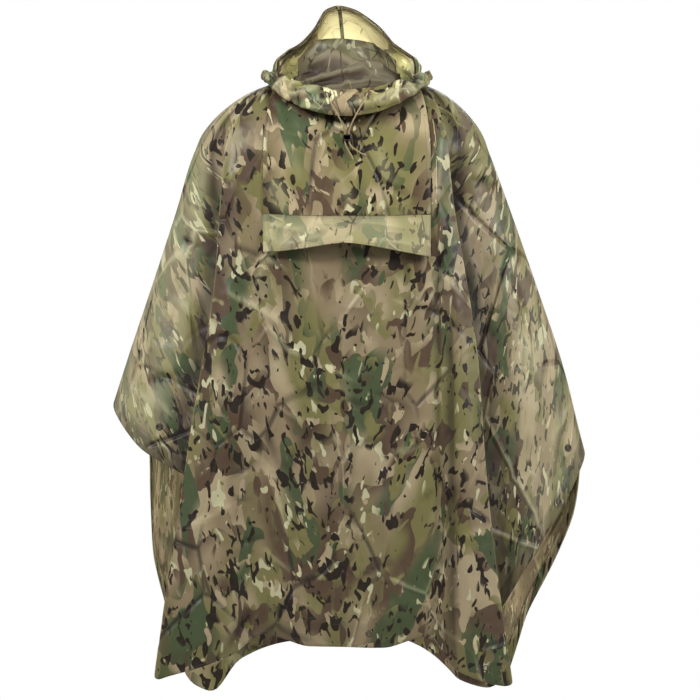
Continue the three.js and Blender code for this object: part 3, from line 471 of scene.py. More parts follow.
def add_cord(name):
    path, length = even_path(np.array(CORD_ROUTES[name]) * MM, CORD_STEP)
    last = len(path) - 1
    ahead = Vector(path[1] - path[0]).normalized()
    side = ahead.orthogonal().normalized()
    rings = []
    for index, place in enumerate(path):
        towards = Vector(path[min(index + 1, last)] - path[max(index - 1, 0)]).normalized()
        side = ahead.rotation_difference(towards) @ side
        ahead = towards
        across = ahead.cross(side)
        wind = 2 * math.pi * index * CORD_STEP / BRAID_PITCH
        ring = []
        for step in range(CORD_SIDES + 1):
            turn = 2 * math.pi * (step % CORD_SIDES) / CORD_SIDES
            over = math.cos(STRANDS / 2 * (turn + wind)) * math.cos(STRANDS / 2 * (turn - wind))
            radius = CORD_DIAMETER / 2 * (1 - STRAND_DEPTH * (1 - over))
            spoke = side * math.cos(turn) + across * math.sin(turn)
            ring.append(place + np.array(spoke) * radius)
        rings.append(ring)
    mesh = grid_mesh(np.array(rings))
    bmesh.ops.remove_doubles(mesh, verts=mesh.verts, dist=1e-6)
    bmesh.ops.holes_fill(mesh, edges=mesh.edges, sides=CORD_SIDES)
    bmesh.ops.recalc_face_normals(mesh, faces=mesh.faces)
    piece = add_piece(f"{name}_braid", finished_mesh(name, mesh), [name], [BRAID])
    return piece, path, length


cords = {name: add_cord(name) for name in CORD_ROUTES}

# The form of each cloth solid, read from the frame

CLOTH = 1.2 * MM  # thickness of one layer
SEAM_GAP = 0.3 * MM
LAYER = CLOTH + SEAM_GAP


def cloth_form(node, behind):
    """The outer face of a solid's cloth wall, as rows of points: the rows run down
    the piece and the points in a row run from left to right. The cloth faces away from
    the place `behind`."""
    mesh = bmesh.new()
    mesh.from_mesh(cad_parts[node].data)
    bmesh.ops.remove_doubles(mesh, verts=mesh.verts, dist=1e-5)
    # the wall's own edge is as wide as the cloth is thick, and nothing else is
    edge_faces = {face for edge in mesh.edges if abs(edge.calc_length() - CLOTH) < 0.004 * MM
                  for face in edge.link_faces}
    bmesh.ops.delete(mesh, geom=list(edge_faces), context="FACES")
    bmesh.ops.delete(mesh, geom=[v for v in mesh.verts if not v.link_faces], context="VERTS")
    sides, seen = [], set()
    for first in mesh.faces:
        if first in seen:
            continue
        side, todo = [], [first]
        seen.add(first)
        while todo:
            face = todo.pop()
            side.append(face)
            near = {other for edge in face.edges for other in edge.link_faces} - seen
            seen.update(near)
            todo.extend(near)
        sides.append(side)
    behind = Vector(behind)
    outwards = [sum(face.normal.dot(face.calc_center_median() - behind) * face.calc_area()
                    for face in side) for side in sides]
    outer = sides[outwards.index(max(outwards))]
    # places in the rows follow from a corner, as each four-sided cell is two faces
    members = set(outer)
    corner_face = next(face for face in outer if any(
        len(members.intersection(vert.link_faces)) == 1 for vert in face.verts))
    corner = next(vert for vert in corner_face.verts
                  if len(members.intersection(vert.link_faces)) == 1)
    one, other = (vert for vert in corner_face.verts if vert is not corner)
    place = {corner: (0, 0), one: (1, 0), other: (0, 1)}
    done, todo = {corner_face}, [corner_face]
    while todo:
        face = todo.pop()
        for edge in face.edges:
            for near in edge.link_faces:
                if near in done or near not in members:
                    continue
                far = next(vert for vert in face.verts if vert not in edge.verts)
                new = next(vert for vert in near.verts if vert not in edge.verts)
                (ai, aj), (bi, bj) = (place[vert] for vert in edge.verts)
                fi, fj = place[far]
                place.setdefault(new, (ai + bi - fi, aj + bj - fj))
                done.add(near)
                todo.append(near)
    rows = 1 + max(i for i, _ in place.values())
    columns = 1 + max(j for _, j in place.values())
    points = np.zeros((rows, columns, 3))
    for vert, (i, j) in place.items():
        points[i, j] = vert.co
    mesh.free()
    down, over = (np.abs(np.diff(points[..., 0], axis=axis)).mean() for axis in (0, 1))
    if down > over:
        points = points.transpose(1, 0, 2)
    if points[0, :, 2].mean() < points[-1, :, 2].mean():
        points = points[::-1]
    if points[:, 0, 0].mean() > points[:, -1, 0].mean():
        points = points[:, ::-1]
    return points


def finer_grid(points, down, across):
    points = finer(points, down)
    return finer(points.transpose(1, 0, 2), across).transpose(1, 0, 2)


def outward(points, behind):
    """The way the cloth faces at each point of its grid."""
    along = np.gradient(points, axis=0)
    over = np.gradient(points, axis=1)
    normals = np.cross(over, along)
    normals /= np.maximum(np.linalg.norm(normals, axis=2, keepdims=True), 1e-12)
    if (normals * (points - np.array(behind))).sum() < 0:
        normals = -normals
    return normals


def cloth_grid(node, behind, down, across, faces_away_from=None):
    """A solid's outer face as a finer grid, and the way it faces at each point."""
    form = finer_grid(cloth_form(node, behind), down, across)
    return form, outward(form, faces_away_from or behind)


def pushed(form, normals, push):
    return form + normals * push[..., None]


def flat_map(points):
    """Distances over the cloth, across from its middle column and down from its top."""
    across = np.linalg.norm(np.diff(points, axis=1), axis=2).cumsum(axis=1)
    across = np.pad(across, ((0, 0), (1, 0)))
    across -= across[:, [across.shape[1] // 2]]
    along = np.linalg.norm(np.diff(points, axis=0), axis=2).cumsum(axis=0)
    along = np.pad(along, ((1, 0), (0, 0)))
    return np.stack([across, -along], axis=2)


def smooth_step(value, low, high):
    share = np.clip((value - low) / (high - low), 0, 1)
    return share * share * (3 - 2 * share)


def crease_push(points, creases):
    """How far the creases lift the cloth at each point. A crease is a line seen from
    the front: its two ends (x, z), how wide it is, and its height, in millimetres."""
    seen = points[..., [0, 2]] / MM
    push = np.zeros(points.shape[:2])
    for x0, z0, x1, z1, width, height in creases:
        start = np.array([x0, z0])
        run = np.array([x1 - x0, z1 - z0])
        length = np.linalg.norm(run)
        along = ((seen - start) @ run) / length ** 2
        nearest = start + np.clip(along, 0, 1)[..., None] * run
        away = np.linalg.norm(seen - nearest, axis=2) / width
        # it is deepest a third of the way along, and fades to its ends
        taper = np.clip(1 - np.abs(along - 0.4) / 0.75, 0.0, 1) ** 0.7
        push += 1.4 * height * taper * np.exp(-1.5 * away ** 1.3)
    return push * MM


def sharp(creases):
    """The narrow creases of a table, which get a painted highlight on the ridge and painted shade
    in the trough.
    """
    return [crease for crease in creases if crease[4] <= 11]


def clear_of(points, nodes, near=11, far=24):
    """0 at the small solids that sit on the cloth, 1 away from them (millimetres)."""
    share = np.ones(points.shape[:2])
    for node in nodes:
        middle = np.mean([np.array(corner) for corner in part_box(node)], axis=0)
        away = np.linalg.norm(points - middle, axis=2)
        share = np.minimum(share, smooth_step(away, near * MM, far * MM))
    return share


def painted_shadow_under_cowl(points):
    """The painted shadow that the cowl casts on the body just below its lowest line, from 0 to 1.
    """
    lowest = -71 * MM + 25 * MM * (points[..., 0] / (100 * MM)) ** 2
    return np.exp(-((points[..., 2] - lowest) / (12 * MM)) ** 2)


def painted_light_and_shade(push):
    """The painted highlight and shade of the creases: from 1 on the highest ridges to -1 in the
    deepest.
    """
    return np.clip(push / (3.5 * MM), -1, 1)


def crumple(points, spacing, height, seed):
    """Crushed cloth: flat facets that meet in sharp ridges, as a push at each point."""
    rng = np.random.default_rng(seed)
    push = np.zeros(points.shape[:2])
    for share in (0.5, 0.3, 0.2):
        ways = rng.normal(size=(2, 3))
        for way in ways / np.linalg.norm(ways, axis=1, keepdims=True):
            phase = points @ way * 2 * math.pi / (spacing * share * 2) + rng.uniform(0, 6)
            push += share * 0.6 * np.arcsin(0.96 * np.sin(phase + 0.8 * np.sin(phase * 0.31)))
    return push * height


def pucker(distance, along, spacing, height, reach):
    """The small gathers that a row of stitches draws up beside it."""
    beat = np.sin(2 * math.pi * along / spacing + 1.7 * np.sin(along / (3.1 * spacing)))
    return height * beat * np.exp(-(distance / reach) ** 2)


def add_cloth(name, points, behind, replaces, outside, inside, marks=None, facing=None):
    """A shell of cloth whose outer face is the grid of points. `facing` gives the inner
    side another material where its test of a place holds."""
    mesh = grid_mesh(points, flat_map(points), marks)
    normals = outward(points, behind)
    middle = (points.shape[0] // 2, points.shape[1] // 2)
    mesh.normal_update()
    mesh.faces.ensure_lookup_table()
    face = mesh.faces[middle[0] * (points.shape[1] - 1) + middle[1]]
    if face.normal.dot(Vector(normals[middle])) < 0:
        bmesh.ops.reverse_faces(mesh, faces=mesh.faces)
    materials = [outside, inside]
    if facing is not None:
        test, faced = facing
        materials += [outside, faced]
        for face in mesh.faces:
            face.material_index = 2 if test(face.calc_center_median()) else 0
    piece = add_piece(name, finished_mesh(name, mesh), replaces, materials)
    wall = piece.modifiers.new("thickness", "SOLIDIFY")
    wall.thickness = CLOTH
    wall.offset = -1
    wall.use_even_offset = False
    wall.material_offset = 1
    wall.material_offset_rim = 0
    return piece


# Front panel

FRONT_SNAPS = ("snap_left_wing", "snap_right_wing_upper", "snap_right_wing_lower",
               "snap_front_foot_right", "snap_front_foot_middle")
BACK_SNAPS = ("snap_back_left_wing", "snap_back_right_wing", "snap_back_foot_left",
              "snap_back_foot_right")
INSIDE_BODY = (0.0, 0.0, -0.6)
FRONT_DOWN, FRONT_ACROSS = 11, 4
FOLD_COLUMNS = (11, 33)  # the long folds' own columns in the solid's grid
BESIDE_FOLDS = (5.6, 38.2)  # columns of the wings just outside the folds
FOLD_PAINTED_SHADE = 1.1
FOLD_PAINTED_HIGHLIGHT = 0.6
LEFT_WING_PAINTED_SHEEN = 0.55
RIGHT_WING_PAINTED_SHEEN = 0.3
BODY_PAINTED_SHADE = 0.21
COWL_PAINTED_SHADOW = 0.9
CHEST_COLUMNS = (17, 27)
BODY_CREASES = (
    (-231, -415, -118, -478, 8, 3.2), (-220, -324, -166, -340, 7, -2.6),
    (-166, -340, -114, -372, 8, 2.4), (-312, -876, -236, -832, 7, 2.8),
    (-216, -818, -190, -820, 5, -2.0), (-220, -770, -174, -746, 6, -2.4),
    (-206, -902, -164, -892, 5, -2.0), (-158, -920, -94, -972, 7, 2.2),
    (-228, -778, -226, -820, 6, -1.6), (128, -440, 204, -456, 7, -2.6),
    (172, -360, 238, -434, 7, 2.6), (194, -302, 174, -446, 8, -2.2),
    (198, -466, 232, -496, 6, -2.2), (232, -890, 286, -876, 6, 2.6),
    (32, -964, 90, -940, 7, -2.4), (154, -668, 126, -712, 6, 2.0),
    (150, -820, 170, -800, 6, -1.8), (-90, -420, -140, -640, 26, 4.0),
    (-20, -380, 20, -560, 30, -3.5), (70, -380, 40, -620, 28, 4.0),
    (-60, -700, -90, -960, 30, -4.0), (10, -720, -20, -1000, 26, 3.5),
    (90, -760, 120, -1020, 26, -4.0), (-180, -560, -150, -760, 22, 3.0),
    (140, -520, 150, -640, 18, 3.0), (-250, -620, -232, -740, 14, 2.4),
    (-270, -940, -240, -1080, 20, 3.5), (250, -620, 240, -760, 14, 2.4),
    (-120, -1000, -60, -1080, 16, 2.5), (-230, -180, -206, -300, 12, 2.4),
    (203, -470, 205, -900, 8, -3.6), (205, -800, 208, -1180, 8, -3.6),
    (190, -520, 186, -1120, 12, 2.2), (-150, -330, -190, -420, 6, 2.4),
    (96, -430, 150, -446, 6, 2.4), (118, -360, 128, -440, 6, -2.0),
    (-40, -560, 20, -590, 7, 2.0), (60, -610, 120, -640, 6, -2.0),
    (-130, -640, -80, -672, 6, 2.2), (-20, -860, 50, -900, 7, 2.0),
    (-150, -1040, -90, -1010, 6, -2.0), (30, -1060, 90, -1020, 6, 2.0),
    (186, -110, 176, -250, 9, 2.6), (-190, -1040, -240, -1120, 9, -2.6),
)
WING_CREASES = (
    (-338, -682, -308, -666, 7, 2.6), (-384, -706, -312, -676, 6, -2.2),
    (-386, -616, -338, -666, 8, 2.4), (-324, -306, -290, -322, 9, -2.2),
    (-338, -426, -294, -466, 9, 2.4), (-414, -516, -324, -530, 15, 3.0),
    (-394, -586, -322, -570, 11, -3.0), (-300, -200, -330, -330, 16, 3.0),
    (-430, -600, -380, -640, 8, 2.0), (330, -378, 360, -450, 6, -2.2),
    (274, -480, 300, -504, 6, -2.6), (252, -186, 306, -202, 11, -2.8),
    (238, -252, 266, -226, 7, 2.6), (346, -486, 386, -586, 11, 2.6),
    (306, -626, 426, -666, 17, 3.6), (316, -786, 396, -746, 15, -3.6),
    (302, -946, 386, -826, 13, 3.2), (280, -340, 330, -320, 14, 2.6),
    (410, -700, 440, -640, 9, 2.2), (330, -900, 400, -880, 10, -2.4),
)
HEM_STEP = 0.7 * MM  # how far the doubled hem stands out below its stitches


def hem_shape(rows, columns, down):
    """The dip along the hem's stitches and the doubled cloth below them."""
    row = np.arange(rows)[:, None] * np.ones((1, columns))
    stitch_row = rows - 1 - down
    dip = -0.6 * MM * np.exp(-((row - stitch_row) / 0.8) ** 2)
    return dip + HEM_STEP * smooth_step(row, stitch_row, stitch_row + 2)


def hem_painted_shade(points, down):
    """1 over the doubled cloth of the hem, which gets painted shade, 0 above it."""
    rows, columns = points.shape[:2]
    row = np.arange(rows)[:, None] * np.ones((1, columns))
    return smooth_step(row, rows - 2 - down, rows - down)


def edge_fade(points, reach=4):
    """0 on the side seams and the neck, 1 away from them, so that the seams stay shut."""
    rows, columns = points.shape[:2]
    column = np.minimum(np.arange(columns), columns - 1 - np.arange(columns))[None, :]
    row = np.arange(rows)[:, None]
    return smooth_step(column, 0, reach) * smooth_step(row, 0, 2 * reach)


front_form, front_normals = cloth_grid("front_panel", INSIDE_BODY, FRONT_DOWN, FRONT_ACROSS,
                                       (0, 0.3, -0.6))
place_across = np.arange(front_form.shape[1])[None, :] / FRONT_ACROSS
on_body = (smooth_step(place_across, FOLD_COLUMNS[0] - 0.5, FOLD_COLUMNS[0] + 0.5)
           * smooth_step(-place_across, -FOLD_COLUMNS[1] - 0.5, -FOLD_COLUMNS[1] + 0.5))
on_wing = (smooth_step(-place_across, -FOLD_COLUMNS[0] + 3, -FOLD_COLUMNS[0] + 5)
           + smooth_step(place_across, FOLD_COLUMNS[1] + 3, FOLD_COLUMNS[1] + 5))
front_fade = edge_fade(front_form) * clear_of(front_form, FRONT_SNAPS)
body_creases = on_body * crease_push(front_form, BODY_CREASES) * front_fade
front_creases = body_creases + on_wing * crease_push(front_form, WING_CREASES) * front_fade
# the sharp creases get a painted highlight on the ridge and painted shade in the trough
front_marks = painted_light_and_shade((on_body * crease_push(front_form, sharp(BODY_CREASES))
                      + on_wing * crease_push(front_form, sharp(WING_CREASES))) * front_fade)
# painted shade on the wings just beside the long folds, and a painted highlight along the folds'
# lips
for column in BESIDE_FOLDS:
    front_marks -= FOLD_PAINTED_SHADE * np.exp(-((place_across - column) / 0.6) ** 2) * front_fade
for column in FOLD_COLUMNS:
    front_marks += FOLD_PAINTED_HIGHLIGHT * np.exp(-((place_across - column) / 0.35) ** 2) * front_fade
# painted sheen makes the wings paler, and painted shade darkens the body, more so lower down
front_marks += LEFT_WING_PAINTED_SHEEN * smooth_step(-place_across, -5.4, -4.2)
front_marks += RIGHT_WING_PAINTED_SHEEN * smooth_step(place_across, 38.6, 40)
front_marks -= on_body * (BODY_PAINTED_SHADE + 0.1 * smooth_step(-front_form[..., 2], 0.5, 0.95))
# painted shadow below the cowl
front_marks -= COWL_PAINTED_SHADOW * painted_shadow_under_cowl(front_form)
front_push = front_creases + hem_shape(*front_form.shape[:2], FRONT_DOWN) * edge_fade(front_form)
front_points = pushed(front_form, front_normals, front_push)
# painted shade along the front hem
front_panel = add_cloth("front_cloth", front_points, INSIDE_BODY,
                        ["front_panel"], PRINT, PRINT_INSIDE_LIT,
                        marks={HEM_PAINTED_SHADE: hem_painted_shade(front_form, FRONT_DOWN) * (1 - 0.7 * on_body),
                               PAINTED_LIGHT_AND_SHADE: np.clip(front_marks, -1, 1)})

# Back panel

BACK_DOWN, BACK_ACROSS = 11, 4
BACK_CREASES = (
    (-260, -260, -180, -380, 10, 2.8), (-150, -200, -60, -260, 12, -2.6),
    (40, -180, 130, -250, 12, 2.8), (180, -300, 260, -420, 10, -2.6),
    (-320, -500, -240, -560, 9, 2.6), (-120, -480, -30, -540, 8, -2.4),
    (20, -520, 110, -480, 8, 2.4), (200, -560, 300, -620, 10, 2.8),
    (-260, -760, -170, -700, 9, -2.6), (-90, -700, -20, -820, 14, 3.0),
    (60, -760, 150, -720, 8, 2.4), (230, -820, 320, -900, 10, -2.8),
    (-340, -880, -270, -960, 10, 2.8), (-180, -980, -90, -940, 8, 2.2),
    (10, -940, 60, -1040, 12, -2.8), (160, -980, 240, -1060, 12, 2.8),
    (-60, -340, -100, -620, 26, 4.0), (70, -300, 100, -660, 28, -4.0),
    (-400, -420, -330, -380, 12, 2.4), (350, -440, 430, -560, 12, 2.6),
)

back_form, back_normals = cloth_grid("back_panel", INSIDE_BODY, BACK_DOWN, BACK_ACROSS,
                                     (0, -0.3, -0.6))
back_fade = edge_fade(back_form) * clear_of(back_form, BACK_SNAPS)
back_creases = crease_push(back_form, BACK_CREASES) * back_fade
# the sharp creases get a painted highlight on the ridge and painted shade in the trough
back_marks = crease_push(back_form, sharp(BACK_CREASES)) * back_fade
back_push = back_creases + hem_shape(*back_form.shape[:2], BACK_DOWN) * edge_fade(back_form)
back_points = pushed(back_form, back_normals, back_push)
# painted shade along the back hem
back_panel = add_cloth("back_cloth", back_points, INSIDE_BODY,
                       ["back_panel"], PRINT_BACK, PRINT_INSIDE_LIT,
                       marks={HEM_PAINTED_SHADE: 0.4 * hem_painted_shade(back_form, BACK_DOWN),
                              PAINTED_LIGHT_AND_SHADE: painted_light_and_shade(back_marks)})

# Hems: the turned edge, which follows its panel one layer in


def add_hem(name, node, panel_points, normals, down, across):
    inset = slice(across, -across)
    rows = slice(panel_points.shape[0] - 1 - down, None)
    points = (panel_points - normals * LAYER)[rows, inset]
    return add_cloth(name, points, INSIDE_BODY, [node],
                     PRINT_INSIDE_LIT, PRINT_HEM)


front_hem = add_hem("front_hem_cloth", "front_hem", front_points, front_normals,
                    FRONT_DOWN, FRONT_ACROSS)
back_hem = add_hem("back_hem_cloth", "back_hem", back_points, back_normals,
                   BACK_DOWN, BACK_ACROSS)

# Chest panel: it lies on the front panel and takes the same creases

CHEST_DOWN = FRONT_DOWN
CHEST_CREASES = (
    (-156, -186, -112, -280, 24, 5.0), (-100, -220, -60, -290, 14, -3.0),
    (-120, -120, -90, -190, 16, 3.0), (60, -130, 90, -220, 18, 3.5),
    (120, -150, 140, -270, 12, -2.5), (-20, -180, 20, -270, 20, 2.5),
    (-40, -284, 30, -276, 8, -1.6), (70, -262, 130, -284, 8, 2.0),
    (-150, -270, -110, -296, 6, 1.6), (104, -176, 150, -150, 7, 1.8),
)
chest_form, chest_normals = cloth_grid("chest_panel", INSIDE_BODY, CHEST_DOWN, FRONT_ACROSS,
                                       (0, 0.3, -0.6))
chest_rows, chest_columns = chest_form.shape[:2]
chest_row = np.arange(chest_rows)[:, None]
seam_away = np.minimum(chest_form[..., 0] - chest_form[:, :1, 0],
                       chest_form[:, -1:, 0] - chest_form[..., 0])
chest_from = CHEST_COLUMNS[0] * FRONT_ACROSS
chest_push = body_creases[:chest_rows, chest_from:chest_from + chest_columns].copy()
lift = np.maximum(crease_push(chest_form, CHEST_CREASES), -0.1 * MM)
lift *= smooth_step(seam_away, 0, 30 * MM) * smooth_step(-chest_row, -chest_rows, -chest_rows + 8)
chest_push += np.maximum(lift, 0)
chest_push += np.abs(pucker(seam_away, chest_form[..., 2], 11 * MM, 0.7 * MM, 10 * MM))
chest_points = pushed(chest_form, chest_normals, chest_push)
# painted highlight and shade on the creases, a little painted shade all over, and the cowl's
# painted shadow
chest_marks = 0.5 * painted_light_and_shade(chest_push) - 0.08 - COWL_PAINTED_SHADOW * painted_shadow_under_cowl(chest_form)
chest_panel = add_cloth("chest_cloth", chest_points, INSIDE_BODY,
                        ["chest_panel"], PRINT_CHEST, LINING,
                        marks={PAINTED_LIGHT_AND_SHADE: chest_marks})

# Pocket flap

FLAP_CREASES = (
    (-140, -282, -60, -300, 9, 2.2), (-110, -318, -30, -300, 9, 2.4),
    (-20, -290, 60, -304, 10, -1.8), (30, -276, 110, -286, 8, 2.2),
    (60, -310, 140, -322, 9, 2.2), (-60, -276, 0, -282, 7, 1.6),
    (100, -296, 156, -290, 7, -1.6), (-156, -300, -130, -326, 8, 1.8),
)
flap_form, flap_normals = cloth_grid("pocket_flap", INSIDE_BODY, 8, FRONT_ACROSS,
                                     (0, 0.3, -0.3))
flap_push = 1.5 * crease_push(flap_form, FLAP_CREASES)
flap_away = np.abs(flap_form[..., 2] - flap_form[:1, :, 2])
flap_push += pucker(flap_away, flap_form[..., 0], 13 * MM, 0.6 * MM, 16 * MM)
flap_push = np.maximum(flap_push, -0.2 * MM)
flap_points = pushed(flap_form, flap_normals, flap_push)
# painted highlight on the creases' ridges, painted shade in their troughs
flap_marks = 0.4 * painted_light_and_shade(flap_push)
flap_marks[:2] = -1  # painted shade in the seam along its top
pocket_flap = add_cloth("flap_cloth", flap_points, INSIDE_BODY,
                        ["pocket_flap"], PRINT_FLAP, LINING, marks={PAINTED_LIGHT_AND_SHADE: flap_marks})

# Hood halves, their rims and the strip over the seam between them

HOOD_DOWN, HOOD_ACROSS = 6, 7
INSIDE_HOOD = (0.0, 0.05, 0.05)
HOOD_CREASES = (
    (-122, 22, -84, 58, 10, 5.5), (-132, 6, -88, 18, 9, -4.5), (-112, 46, -76, 84, 8, -3.5),
    (-96, 18, -66, 40, 9, 4.5), (-62, 88, -34, 122, 8, 3.0), (-80, 60, -58, 84, 7, 3.0),
    (40, 104, 72, 62, 9, 3.2), (86, 66, 128, 28, 10, -5.0), (98, 20, 138, 12, 9, 5.5),
    (72, 44, 108, 30, 8, 4.5), (104, 48, 126, 10, 8, 4.0), (-32, 40, -44, 96, 10, 2.6),
    (20, 36, 34, 92, 11, -2.4), (52, 30, 78, 74, 10, 2.8), (-12, 60, -6, 130, 8, 1.8),
    (-134, 44, -142, 2, 18, 9.0), (140, 52, 148, 6, 18, 8.0),
)
RIM_ROLL = 4 * MM  # how far the turned edge rolls in off the hood's wall
PALE_ABOVE = 0.082  # the lining, painted pale for the light shining through it, shows above this height, the print below


def on_printed_side(place):
    """True on the parts of the hood's inner side that the printed cloth is turned over."""
    return place.z < PALE_ABOVE or abs(place.x - 0.012) > 0.072


def add_hood_half(side):
    form, normals = cloth_grid(f"hood_{side}", INSIDE_HOOD, HOOD_DOWN, HOOD_ACROSS)
    fade = smooth_step(np.arange(form.shape[1]), 0, 8)
    fade = fade[::-1] if side == "left" else fade
    push = crease_push(form, HOOD_CREASES) * edge_fade(form, 3) * (0.3 + 0.7 * fade[None, :])
    lower = smooth_step(-form[..., 2], -100 * MM, -40 * MM)
    push += np.maximum(crumple(form, 40 * MM, 4.2 * MM, 23), -1 * MM) * edge_fade(form, 8) * lower
    points = pushed(form, normals, push)
    from_rim = np.arange(form.shape[1])
    from_rim = from_rim if side == "left" else from_rim[::-1]
    # painted shade on the inner side along the rim, in the upper part
    hem_shade_amount = 1.9 * smooth_step(-from_rim, -2 * HOOD_ACROSS, 2 - 2 * HOOD_ACROSS)
    hem_shade_amount = hem_shade_amount * smooth_step(form[..., 2], 45 * MM, 95 * MM)
    cloth = add_cloth(f"hood_{side}_cloth", points, INSIDE_HOOD,
                      [f"hood_{side}"], PRINT_HOOD, LINING_HOOD_LIT_THROUGH, marks={HEM_PAINTED_SHADE: hem_shade_amount},
                      facing=(on_printed_side, PRINT_TURNED_LIT))
    edge = slice(0, HOOD_ACROSS + 1) if side == "left" else slice(-HOOD_ACROSS - 1, None)
    across = np.linspace(0, 1, HOOD_ACROSS + 1)[None, :, None]
    roll = RIM_ROLL * np.sin(math.pi * (0.15 + 0.75 * across))
    roll = roll if side == "left" else roll[:, ::-1]
    turned = (points - normals * LAYER)[:-HOOD_DOWN, edge]
    turned = turned - normals[:-HOOD_DOWN, edge] * roll
    # the rim takes the print darkened for painted shade
    rim = add_cloth(f"hood_rim_{side}_cloth", turned, INSIDE_HOOD,
                    [f"hood_rim_{side}"], BINDING_SHADED, BINDING_SHADED)
    return cloth, rim, points, normals


hood_left, rim_left, hood_left_points, hood_left_normals = add_hood_half("left")
hood_right, rim_right, hood_right_points, hood_right_normals = add_hood_half("right")

STRIP_SHARE = 0.62  # the strip draws in to this share of its width once it is sewn
strip_form = finer_grid(cloth_form("hood_seam_strip", INSIDE_HOOD), HOOD_DOWN, 4)
strip_middle = strip_form.mean(axis=1, keepdims=True)
strip_form = strip_middle + (strip_form - strip_middle) * STRIP_SHARE
hood_strip = add_cloth("hood_strip_cloth", strip_form, INSIDE_HOOD,
                       ["hood_seam_strip"], BINDING_SHADED, BINDING_SHADED)

# Cowl, throat folds and turned band

EYELETS = ("eyelet_left", "eyelet_right")
COWL_DOWN, COWL_ACROSS = 7, 7
INSIDE_COWL = (0.0, -0.09, -0.03)
COWL_CREASES = (
    (-154, -14, -112, 22, 9, 5.5), (-146, 8, -118, 36, 8, -4.0), (-122, -28, -66, -6, 9, 5.0),
    (-104, -2, -58, 8, 7, -3.6), (-62, -36, -14, -24, 8, 3.4), (-30, -12, 22, -14, 6, -2.2),
    (8, -42, 62, -30, 9, 4.0), (40, -18, 92, -2, 8, -3.6), (68, -26, 124, -6, 9, 5.2),
    (108, 0, 146, 16, 7, -4.0), (118, -18, 158, 4, 9, 5.5), (94, 14, 132, 34, 8, 4.0),
    (-92, -44, -28, -52, 7, 3.2), (30, -56, 92, -44, 7, -2.4), (128, 22, 152, 36, 6, 3.4),
    (-134, -4, -100, -22, 6, 3.0), (-80, -20, -48, 2, 6, 2.8), (84, -8, 104, -34, 6, 3.0),
)
cowl_form, cowl_normals = cloth_grid("cowl", INSIDE_COWL, COWL_DOWN, COWL_ACROSS)
cowl_rows = np.arange(cowl_form.shape[0])[:, None]
cowl_free = smooth_step(-cowl_rows, -cowl_form.shape[0] + 2 * COWL_DOWN,
                        -cowl_form.shape[0] + 4 * COWL_DOWN)
cowl_ends = smooth_step(np.abs(cowl_form[..., 0]), 45 * MM, 110 * MM)
cowl_push = crease_push(cowl_form, COWL_CREASES)
cowl_push += crumple(cowl_form, 46 * MM, 2.2 * MM, 11) * (0.35 + 1.5 * cowl_ends)
cowl_push = np.maximum(cowl_push, -2.4 * MM) * cowl_free * clear_of(cowl_form, EYELETS, 9, 20)
cowl_columns = np.arange(cowl_form.shape[1])[None, :]
cowl_push *= smooth_step(cowl_columns, 0, 12) * smooth_step(cowl_columns[:, ::-1], 0, 12)
cowl_points = pushed(cowl_form, cowl_normals, cowl_push)
cowl_middle = cowl_points.mean(axis=0, keepdims=True)
from_end = np.minimum(cowl_columns, cowl_columns[:, ::-1])
drawn_in = 0.7 + 0.3 * smooth_step(from_end, 0, 2 * COWL_ACROSS)
cowl_points = cowl_middle + (cowl_points - cowl_middle) * drawn_in[..., None]
# painted highlight on the creases' ridges, painted shade in their troughs
cowl = add_cloth("cowl_cloth", cowl_points, INSIDE_COWL, ["cowl"],
                 PRINT_COWL, LINING, marks={PAINTED_LIGHT_AND_SHADE: painted_light_and_shade(cowl_push) * 0.7})

BELOW_THROAT = (0.0, -0.05, -0.5)
THROAT_CREASES = (
    (-40, 56, -20, 62, 4, 2.0), (44, 30, 76, 22, 4, -2.4), (-30, 8, 8, 12, 4, 2.6),
    (-72, 48, -36, 70, 7, 4.0), (-36, 70, 8, 52, 7, 4.0), (8, 52, 34, 44, 7, 3.0),
    (34, 44, 70, 42, 7, 4.0), (-86, 32, 0, 26, 10, -9.0), (-104, -4, -40, 20, 7, 8.0),
    (-50, 18, 36, 36, 7, 9.0), (24, 35, 92, 14, 7, 7.0), (-70, 2, 40, 14, 8, -8.0),
    (-60, -14, 4, 0, 7, 7.0), (-4, 0, 44, 8, 7, 7.0), (36, 8, 84, 4, 7, 6.0),
    (-30, 44, -44, 30, 7, 2.4), (40, 36, 60, 22, 6, -3.0),
)
throat_form, throat_normals = cloth_grid("throat_folds", BELOW_THROAT, 7, 7)
throat_push = crease_push(throat_form, THROAT_CREASES) * edge_fade(throat_form, 14)
throat_points = pushed(throat_form, throat_normals, throat_push)
# painted highlight on the folds' ridges, held low, painted shade in their troughs, and a little
# painted shade all over
throat_folds = add_cloth("throat_cloth", throat_points, BELOW_THROAT,
                         ["throat_folds"], LINING, LINING,
                         marks={PAINTED_LIGHT_AND_SHADE: np.minimum(painted_light_and_shade(throat_push), 0.36) - 0.06})

BEHIND_BAND = (0.0, 0.3, -0.2)
BAND_CREASES = (
    (-70, 92, -20, 84, 5, 2.4), (-24, 84, 14, 72, 5, -3.0), (10, 74, 60, 88, 5, 2.4),
    (-84, 60, -60, 88, 6, 3.0), (60, 84, 84, 60, 6, -3.0), (26, 78, 40, 50, 6, 2.4),
)
band_form, band_normals = cloth_grid("turned_band", BEHIND_BAND, 6, 7)
band_push = np.maximum(crease_push(band_form, BAND_CREASES), -1.5 * MM)
band_push *= smooth_step(-np.arange(band_form.shape[0])[:, None], -band_form.shape[0] + 8,
                         -band_form.shape[0] + 20)
band_points = pushed(band_form, band_normals, band_push)
# painted highlight on the creases' ridges, painted shade in their troughs
turned_band = add_cloth("turned_band_cloth", band_points, BEHIND_BAND,
                        ["turned_band"], PRINT_BAND_SHADED, PRINT_BAND_SHADED,
                        marks={PAINTED_LIGHT_AND_SHADE: painted_light_and_shade(band_push)})

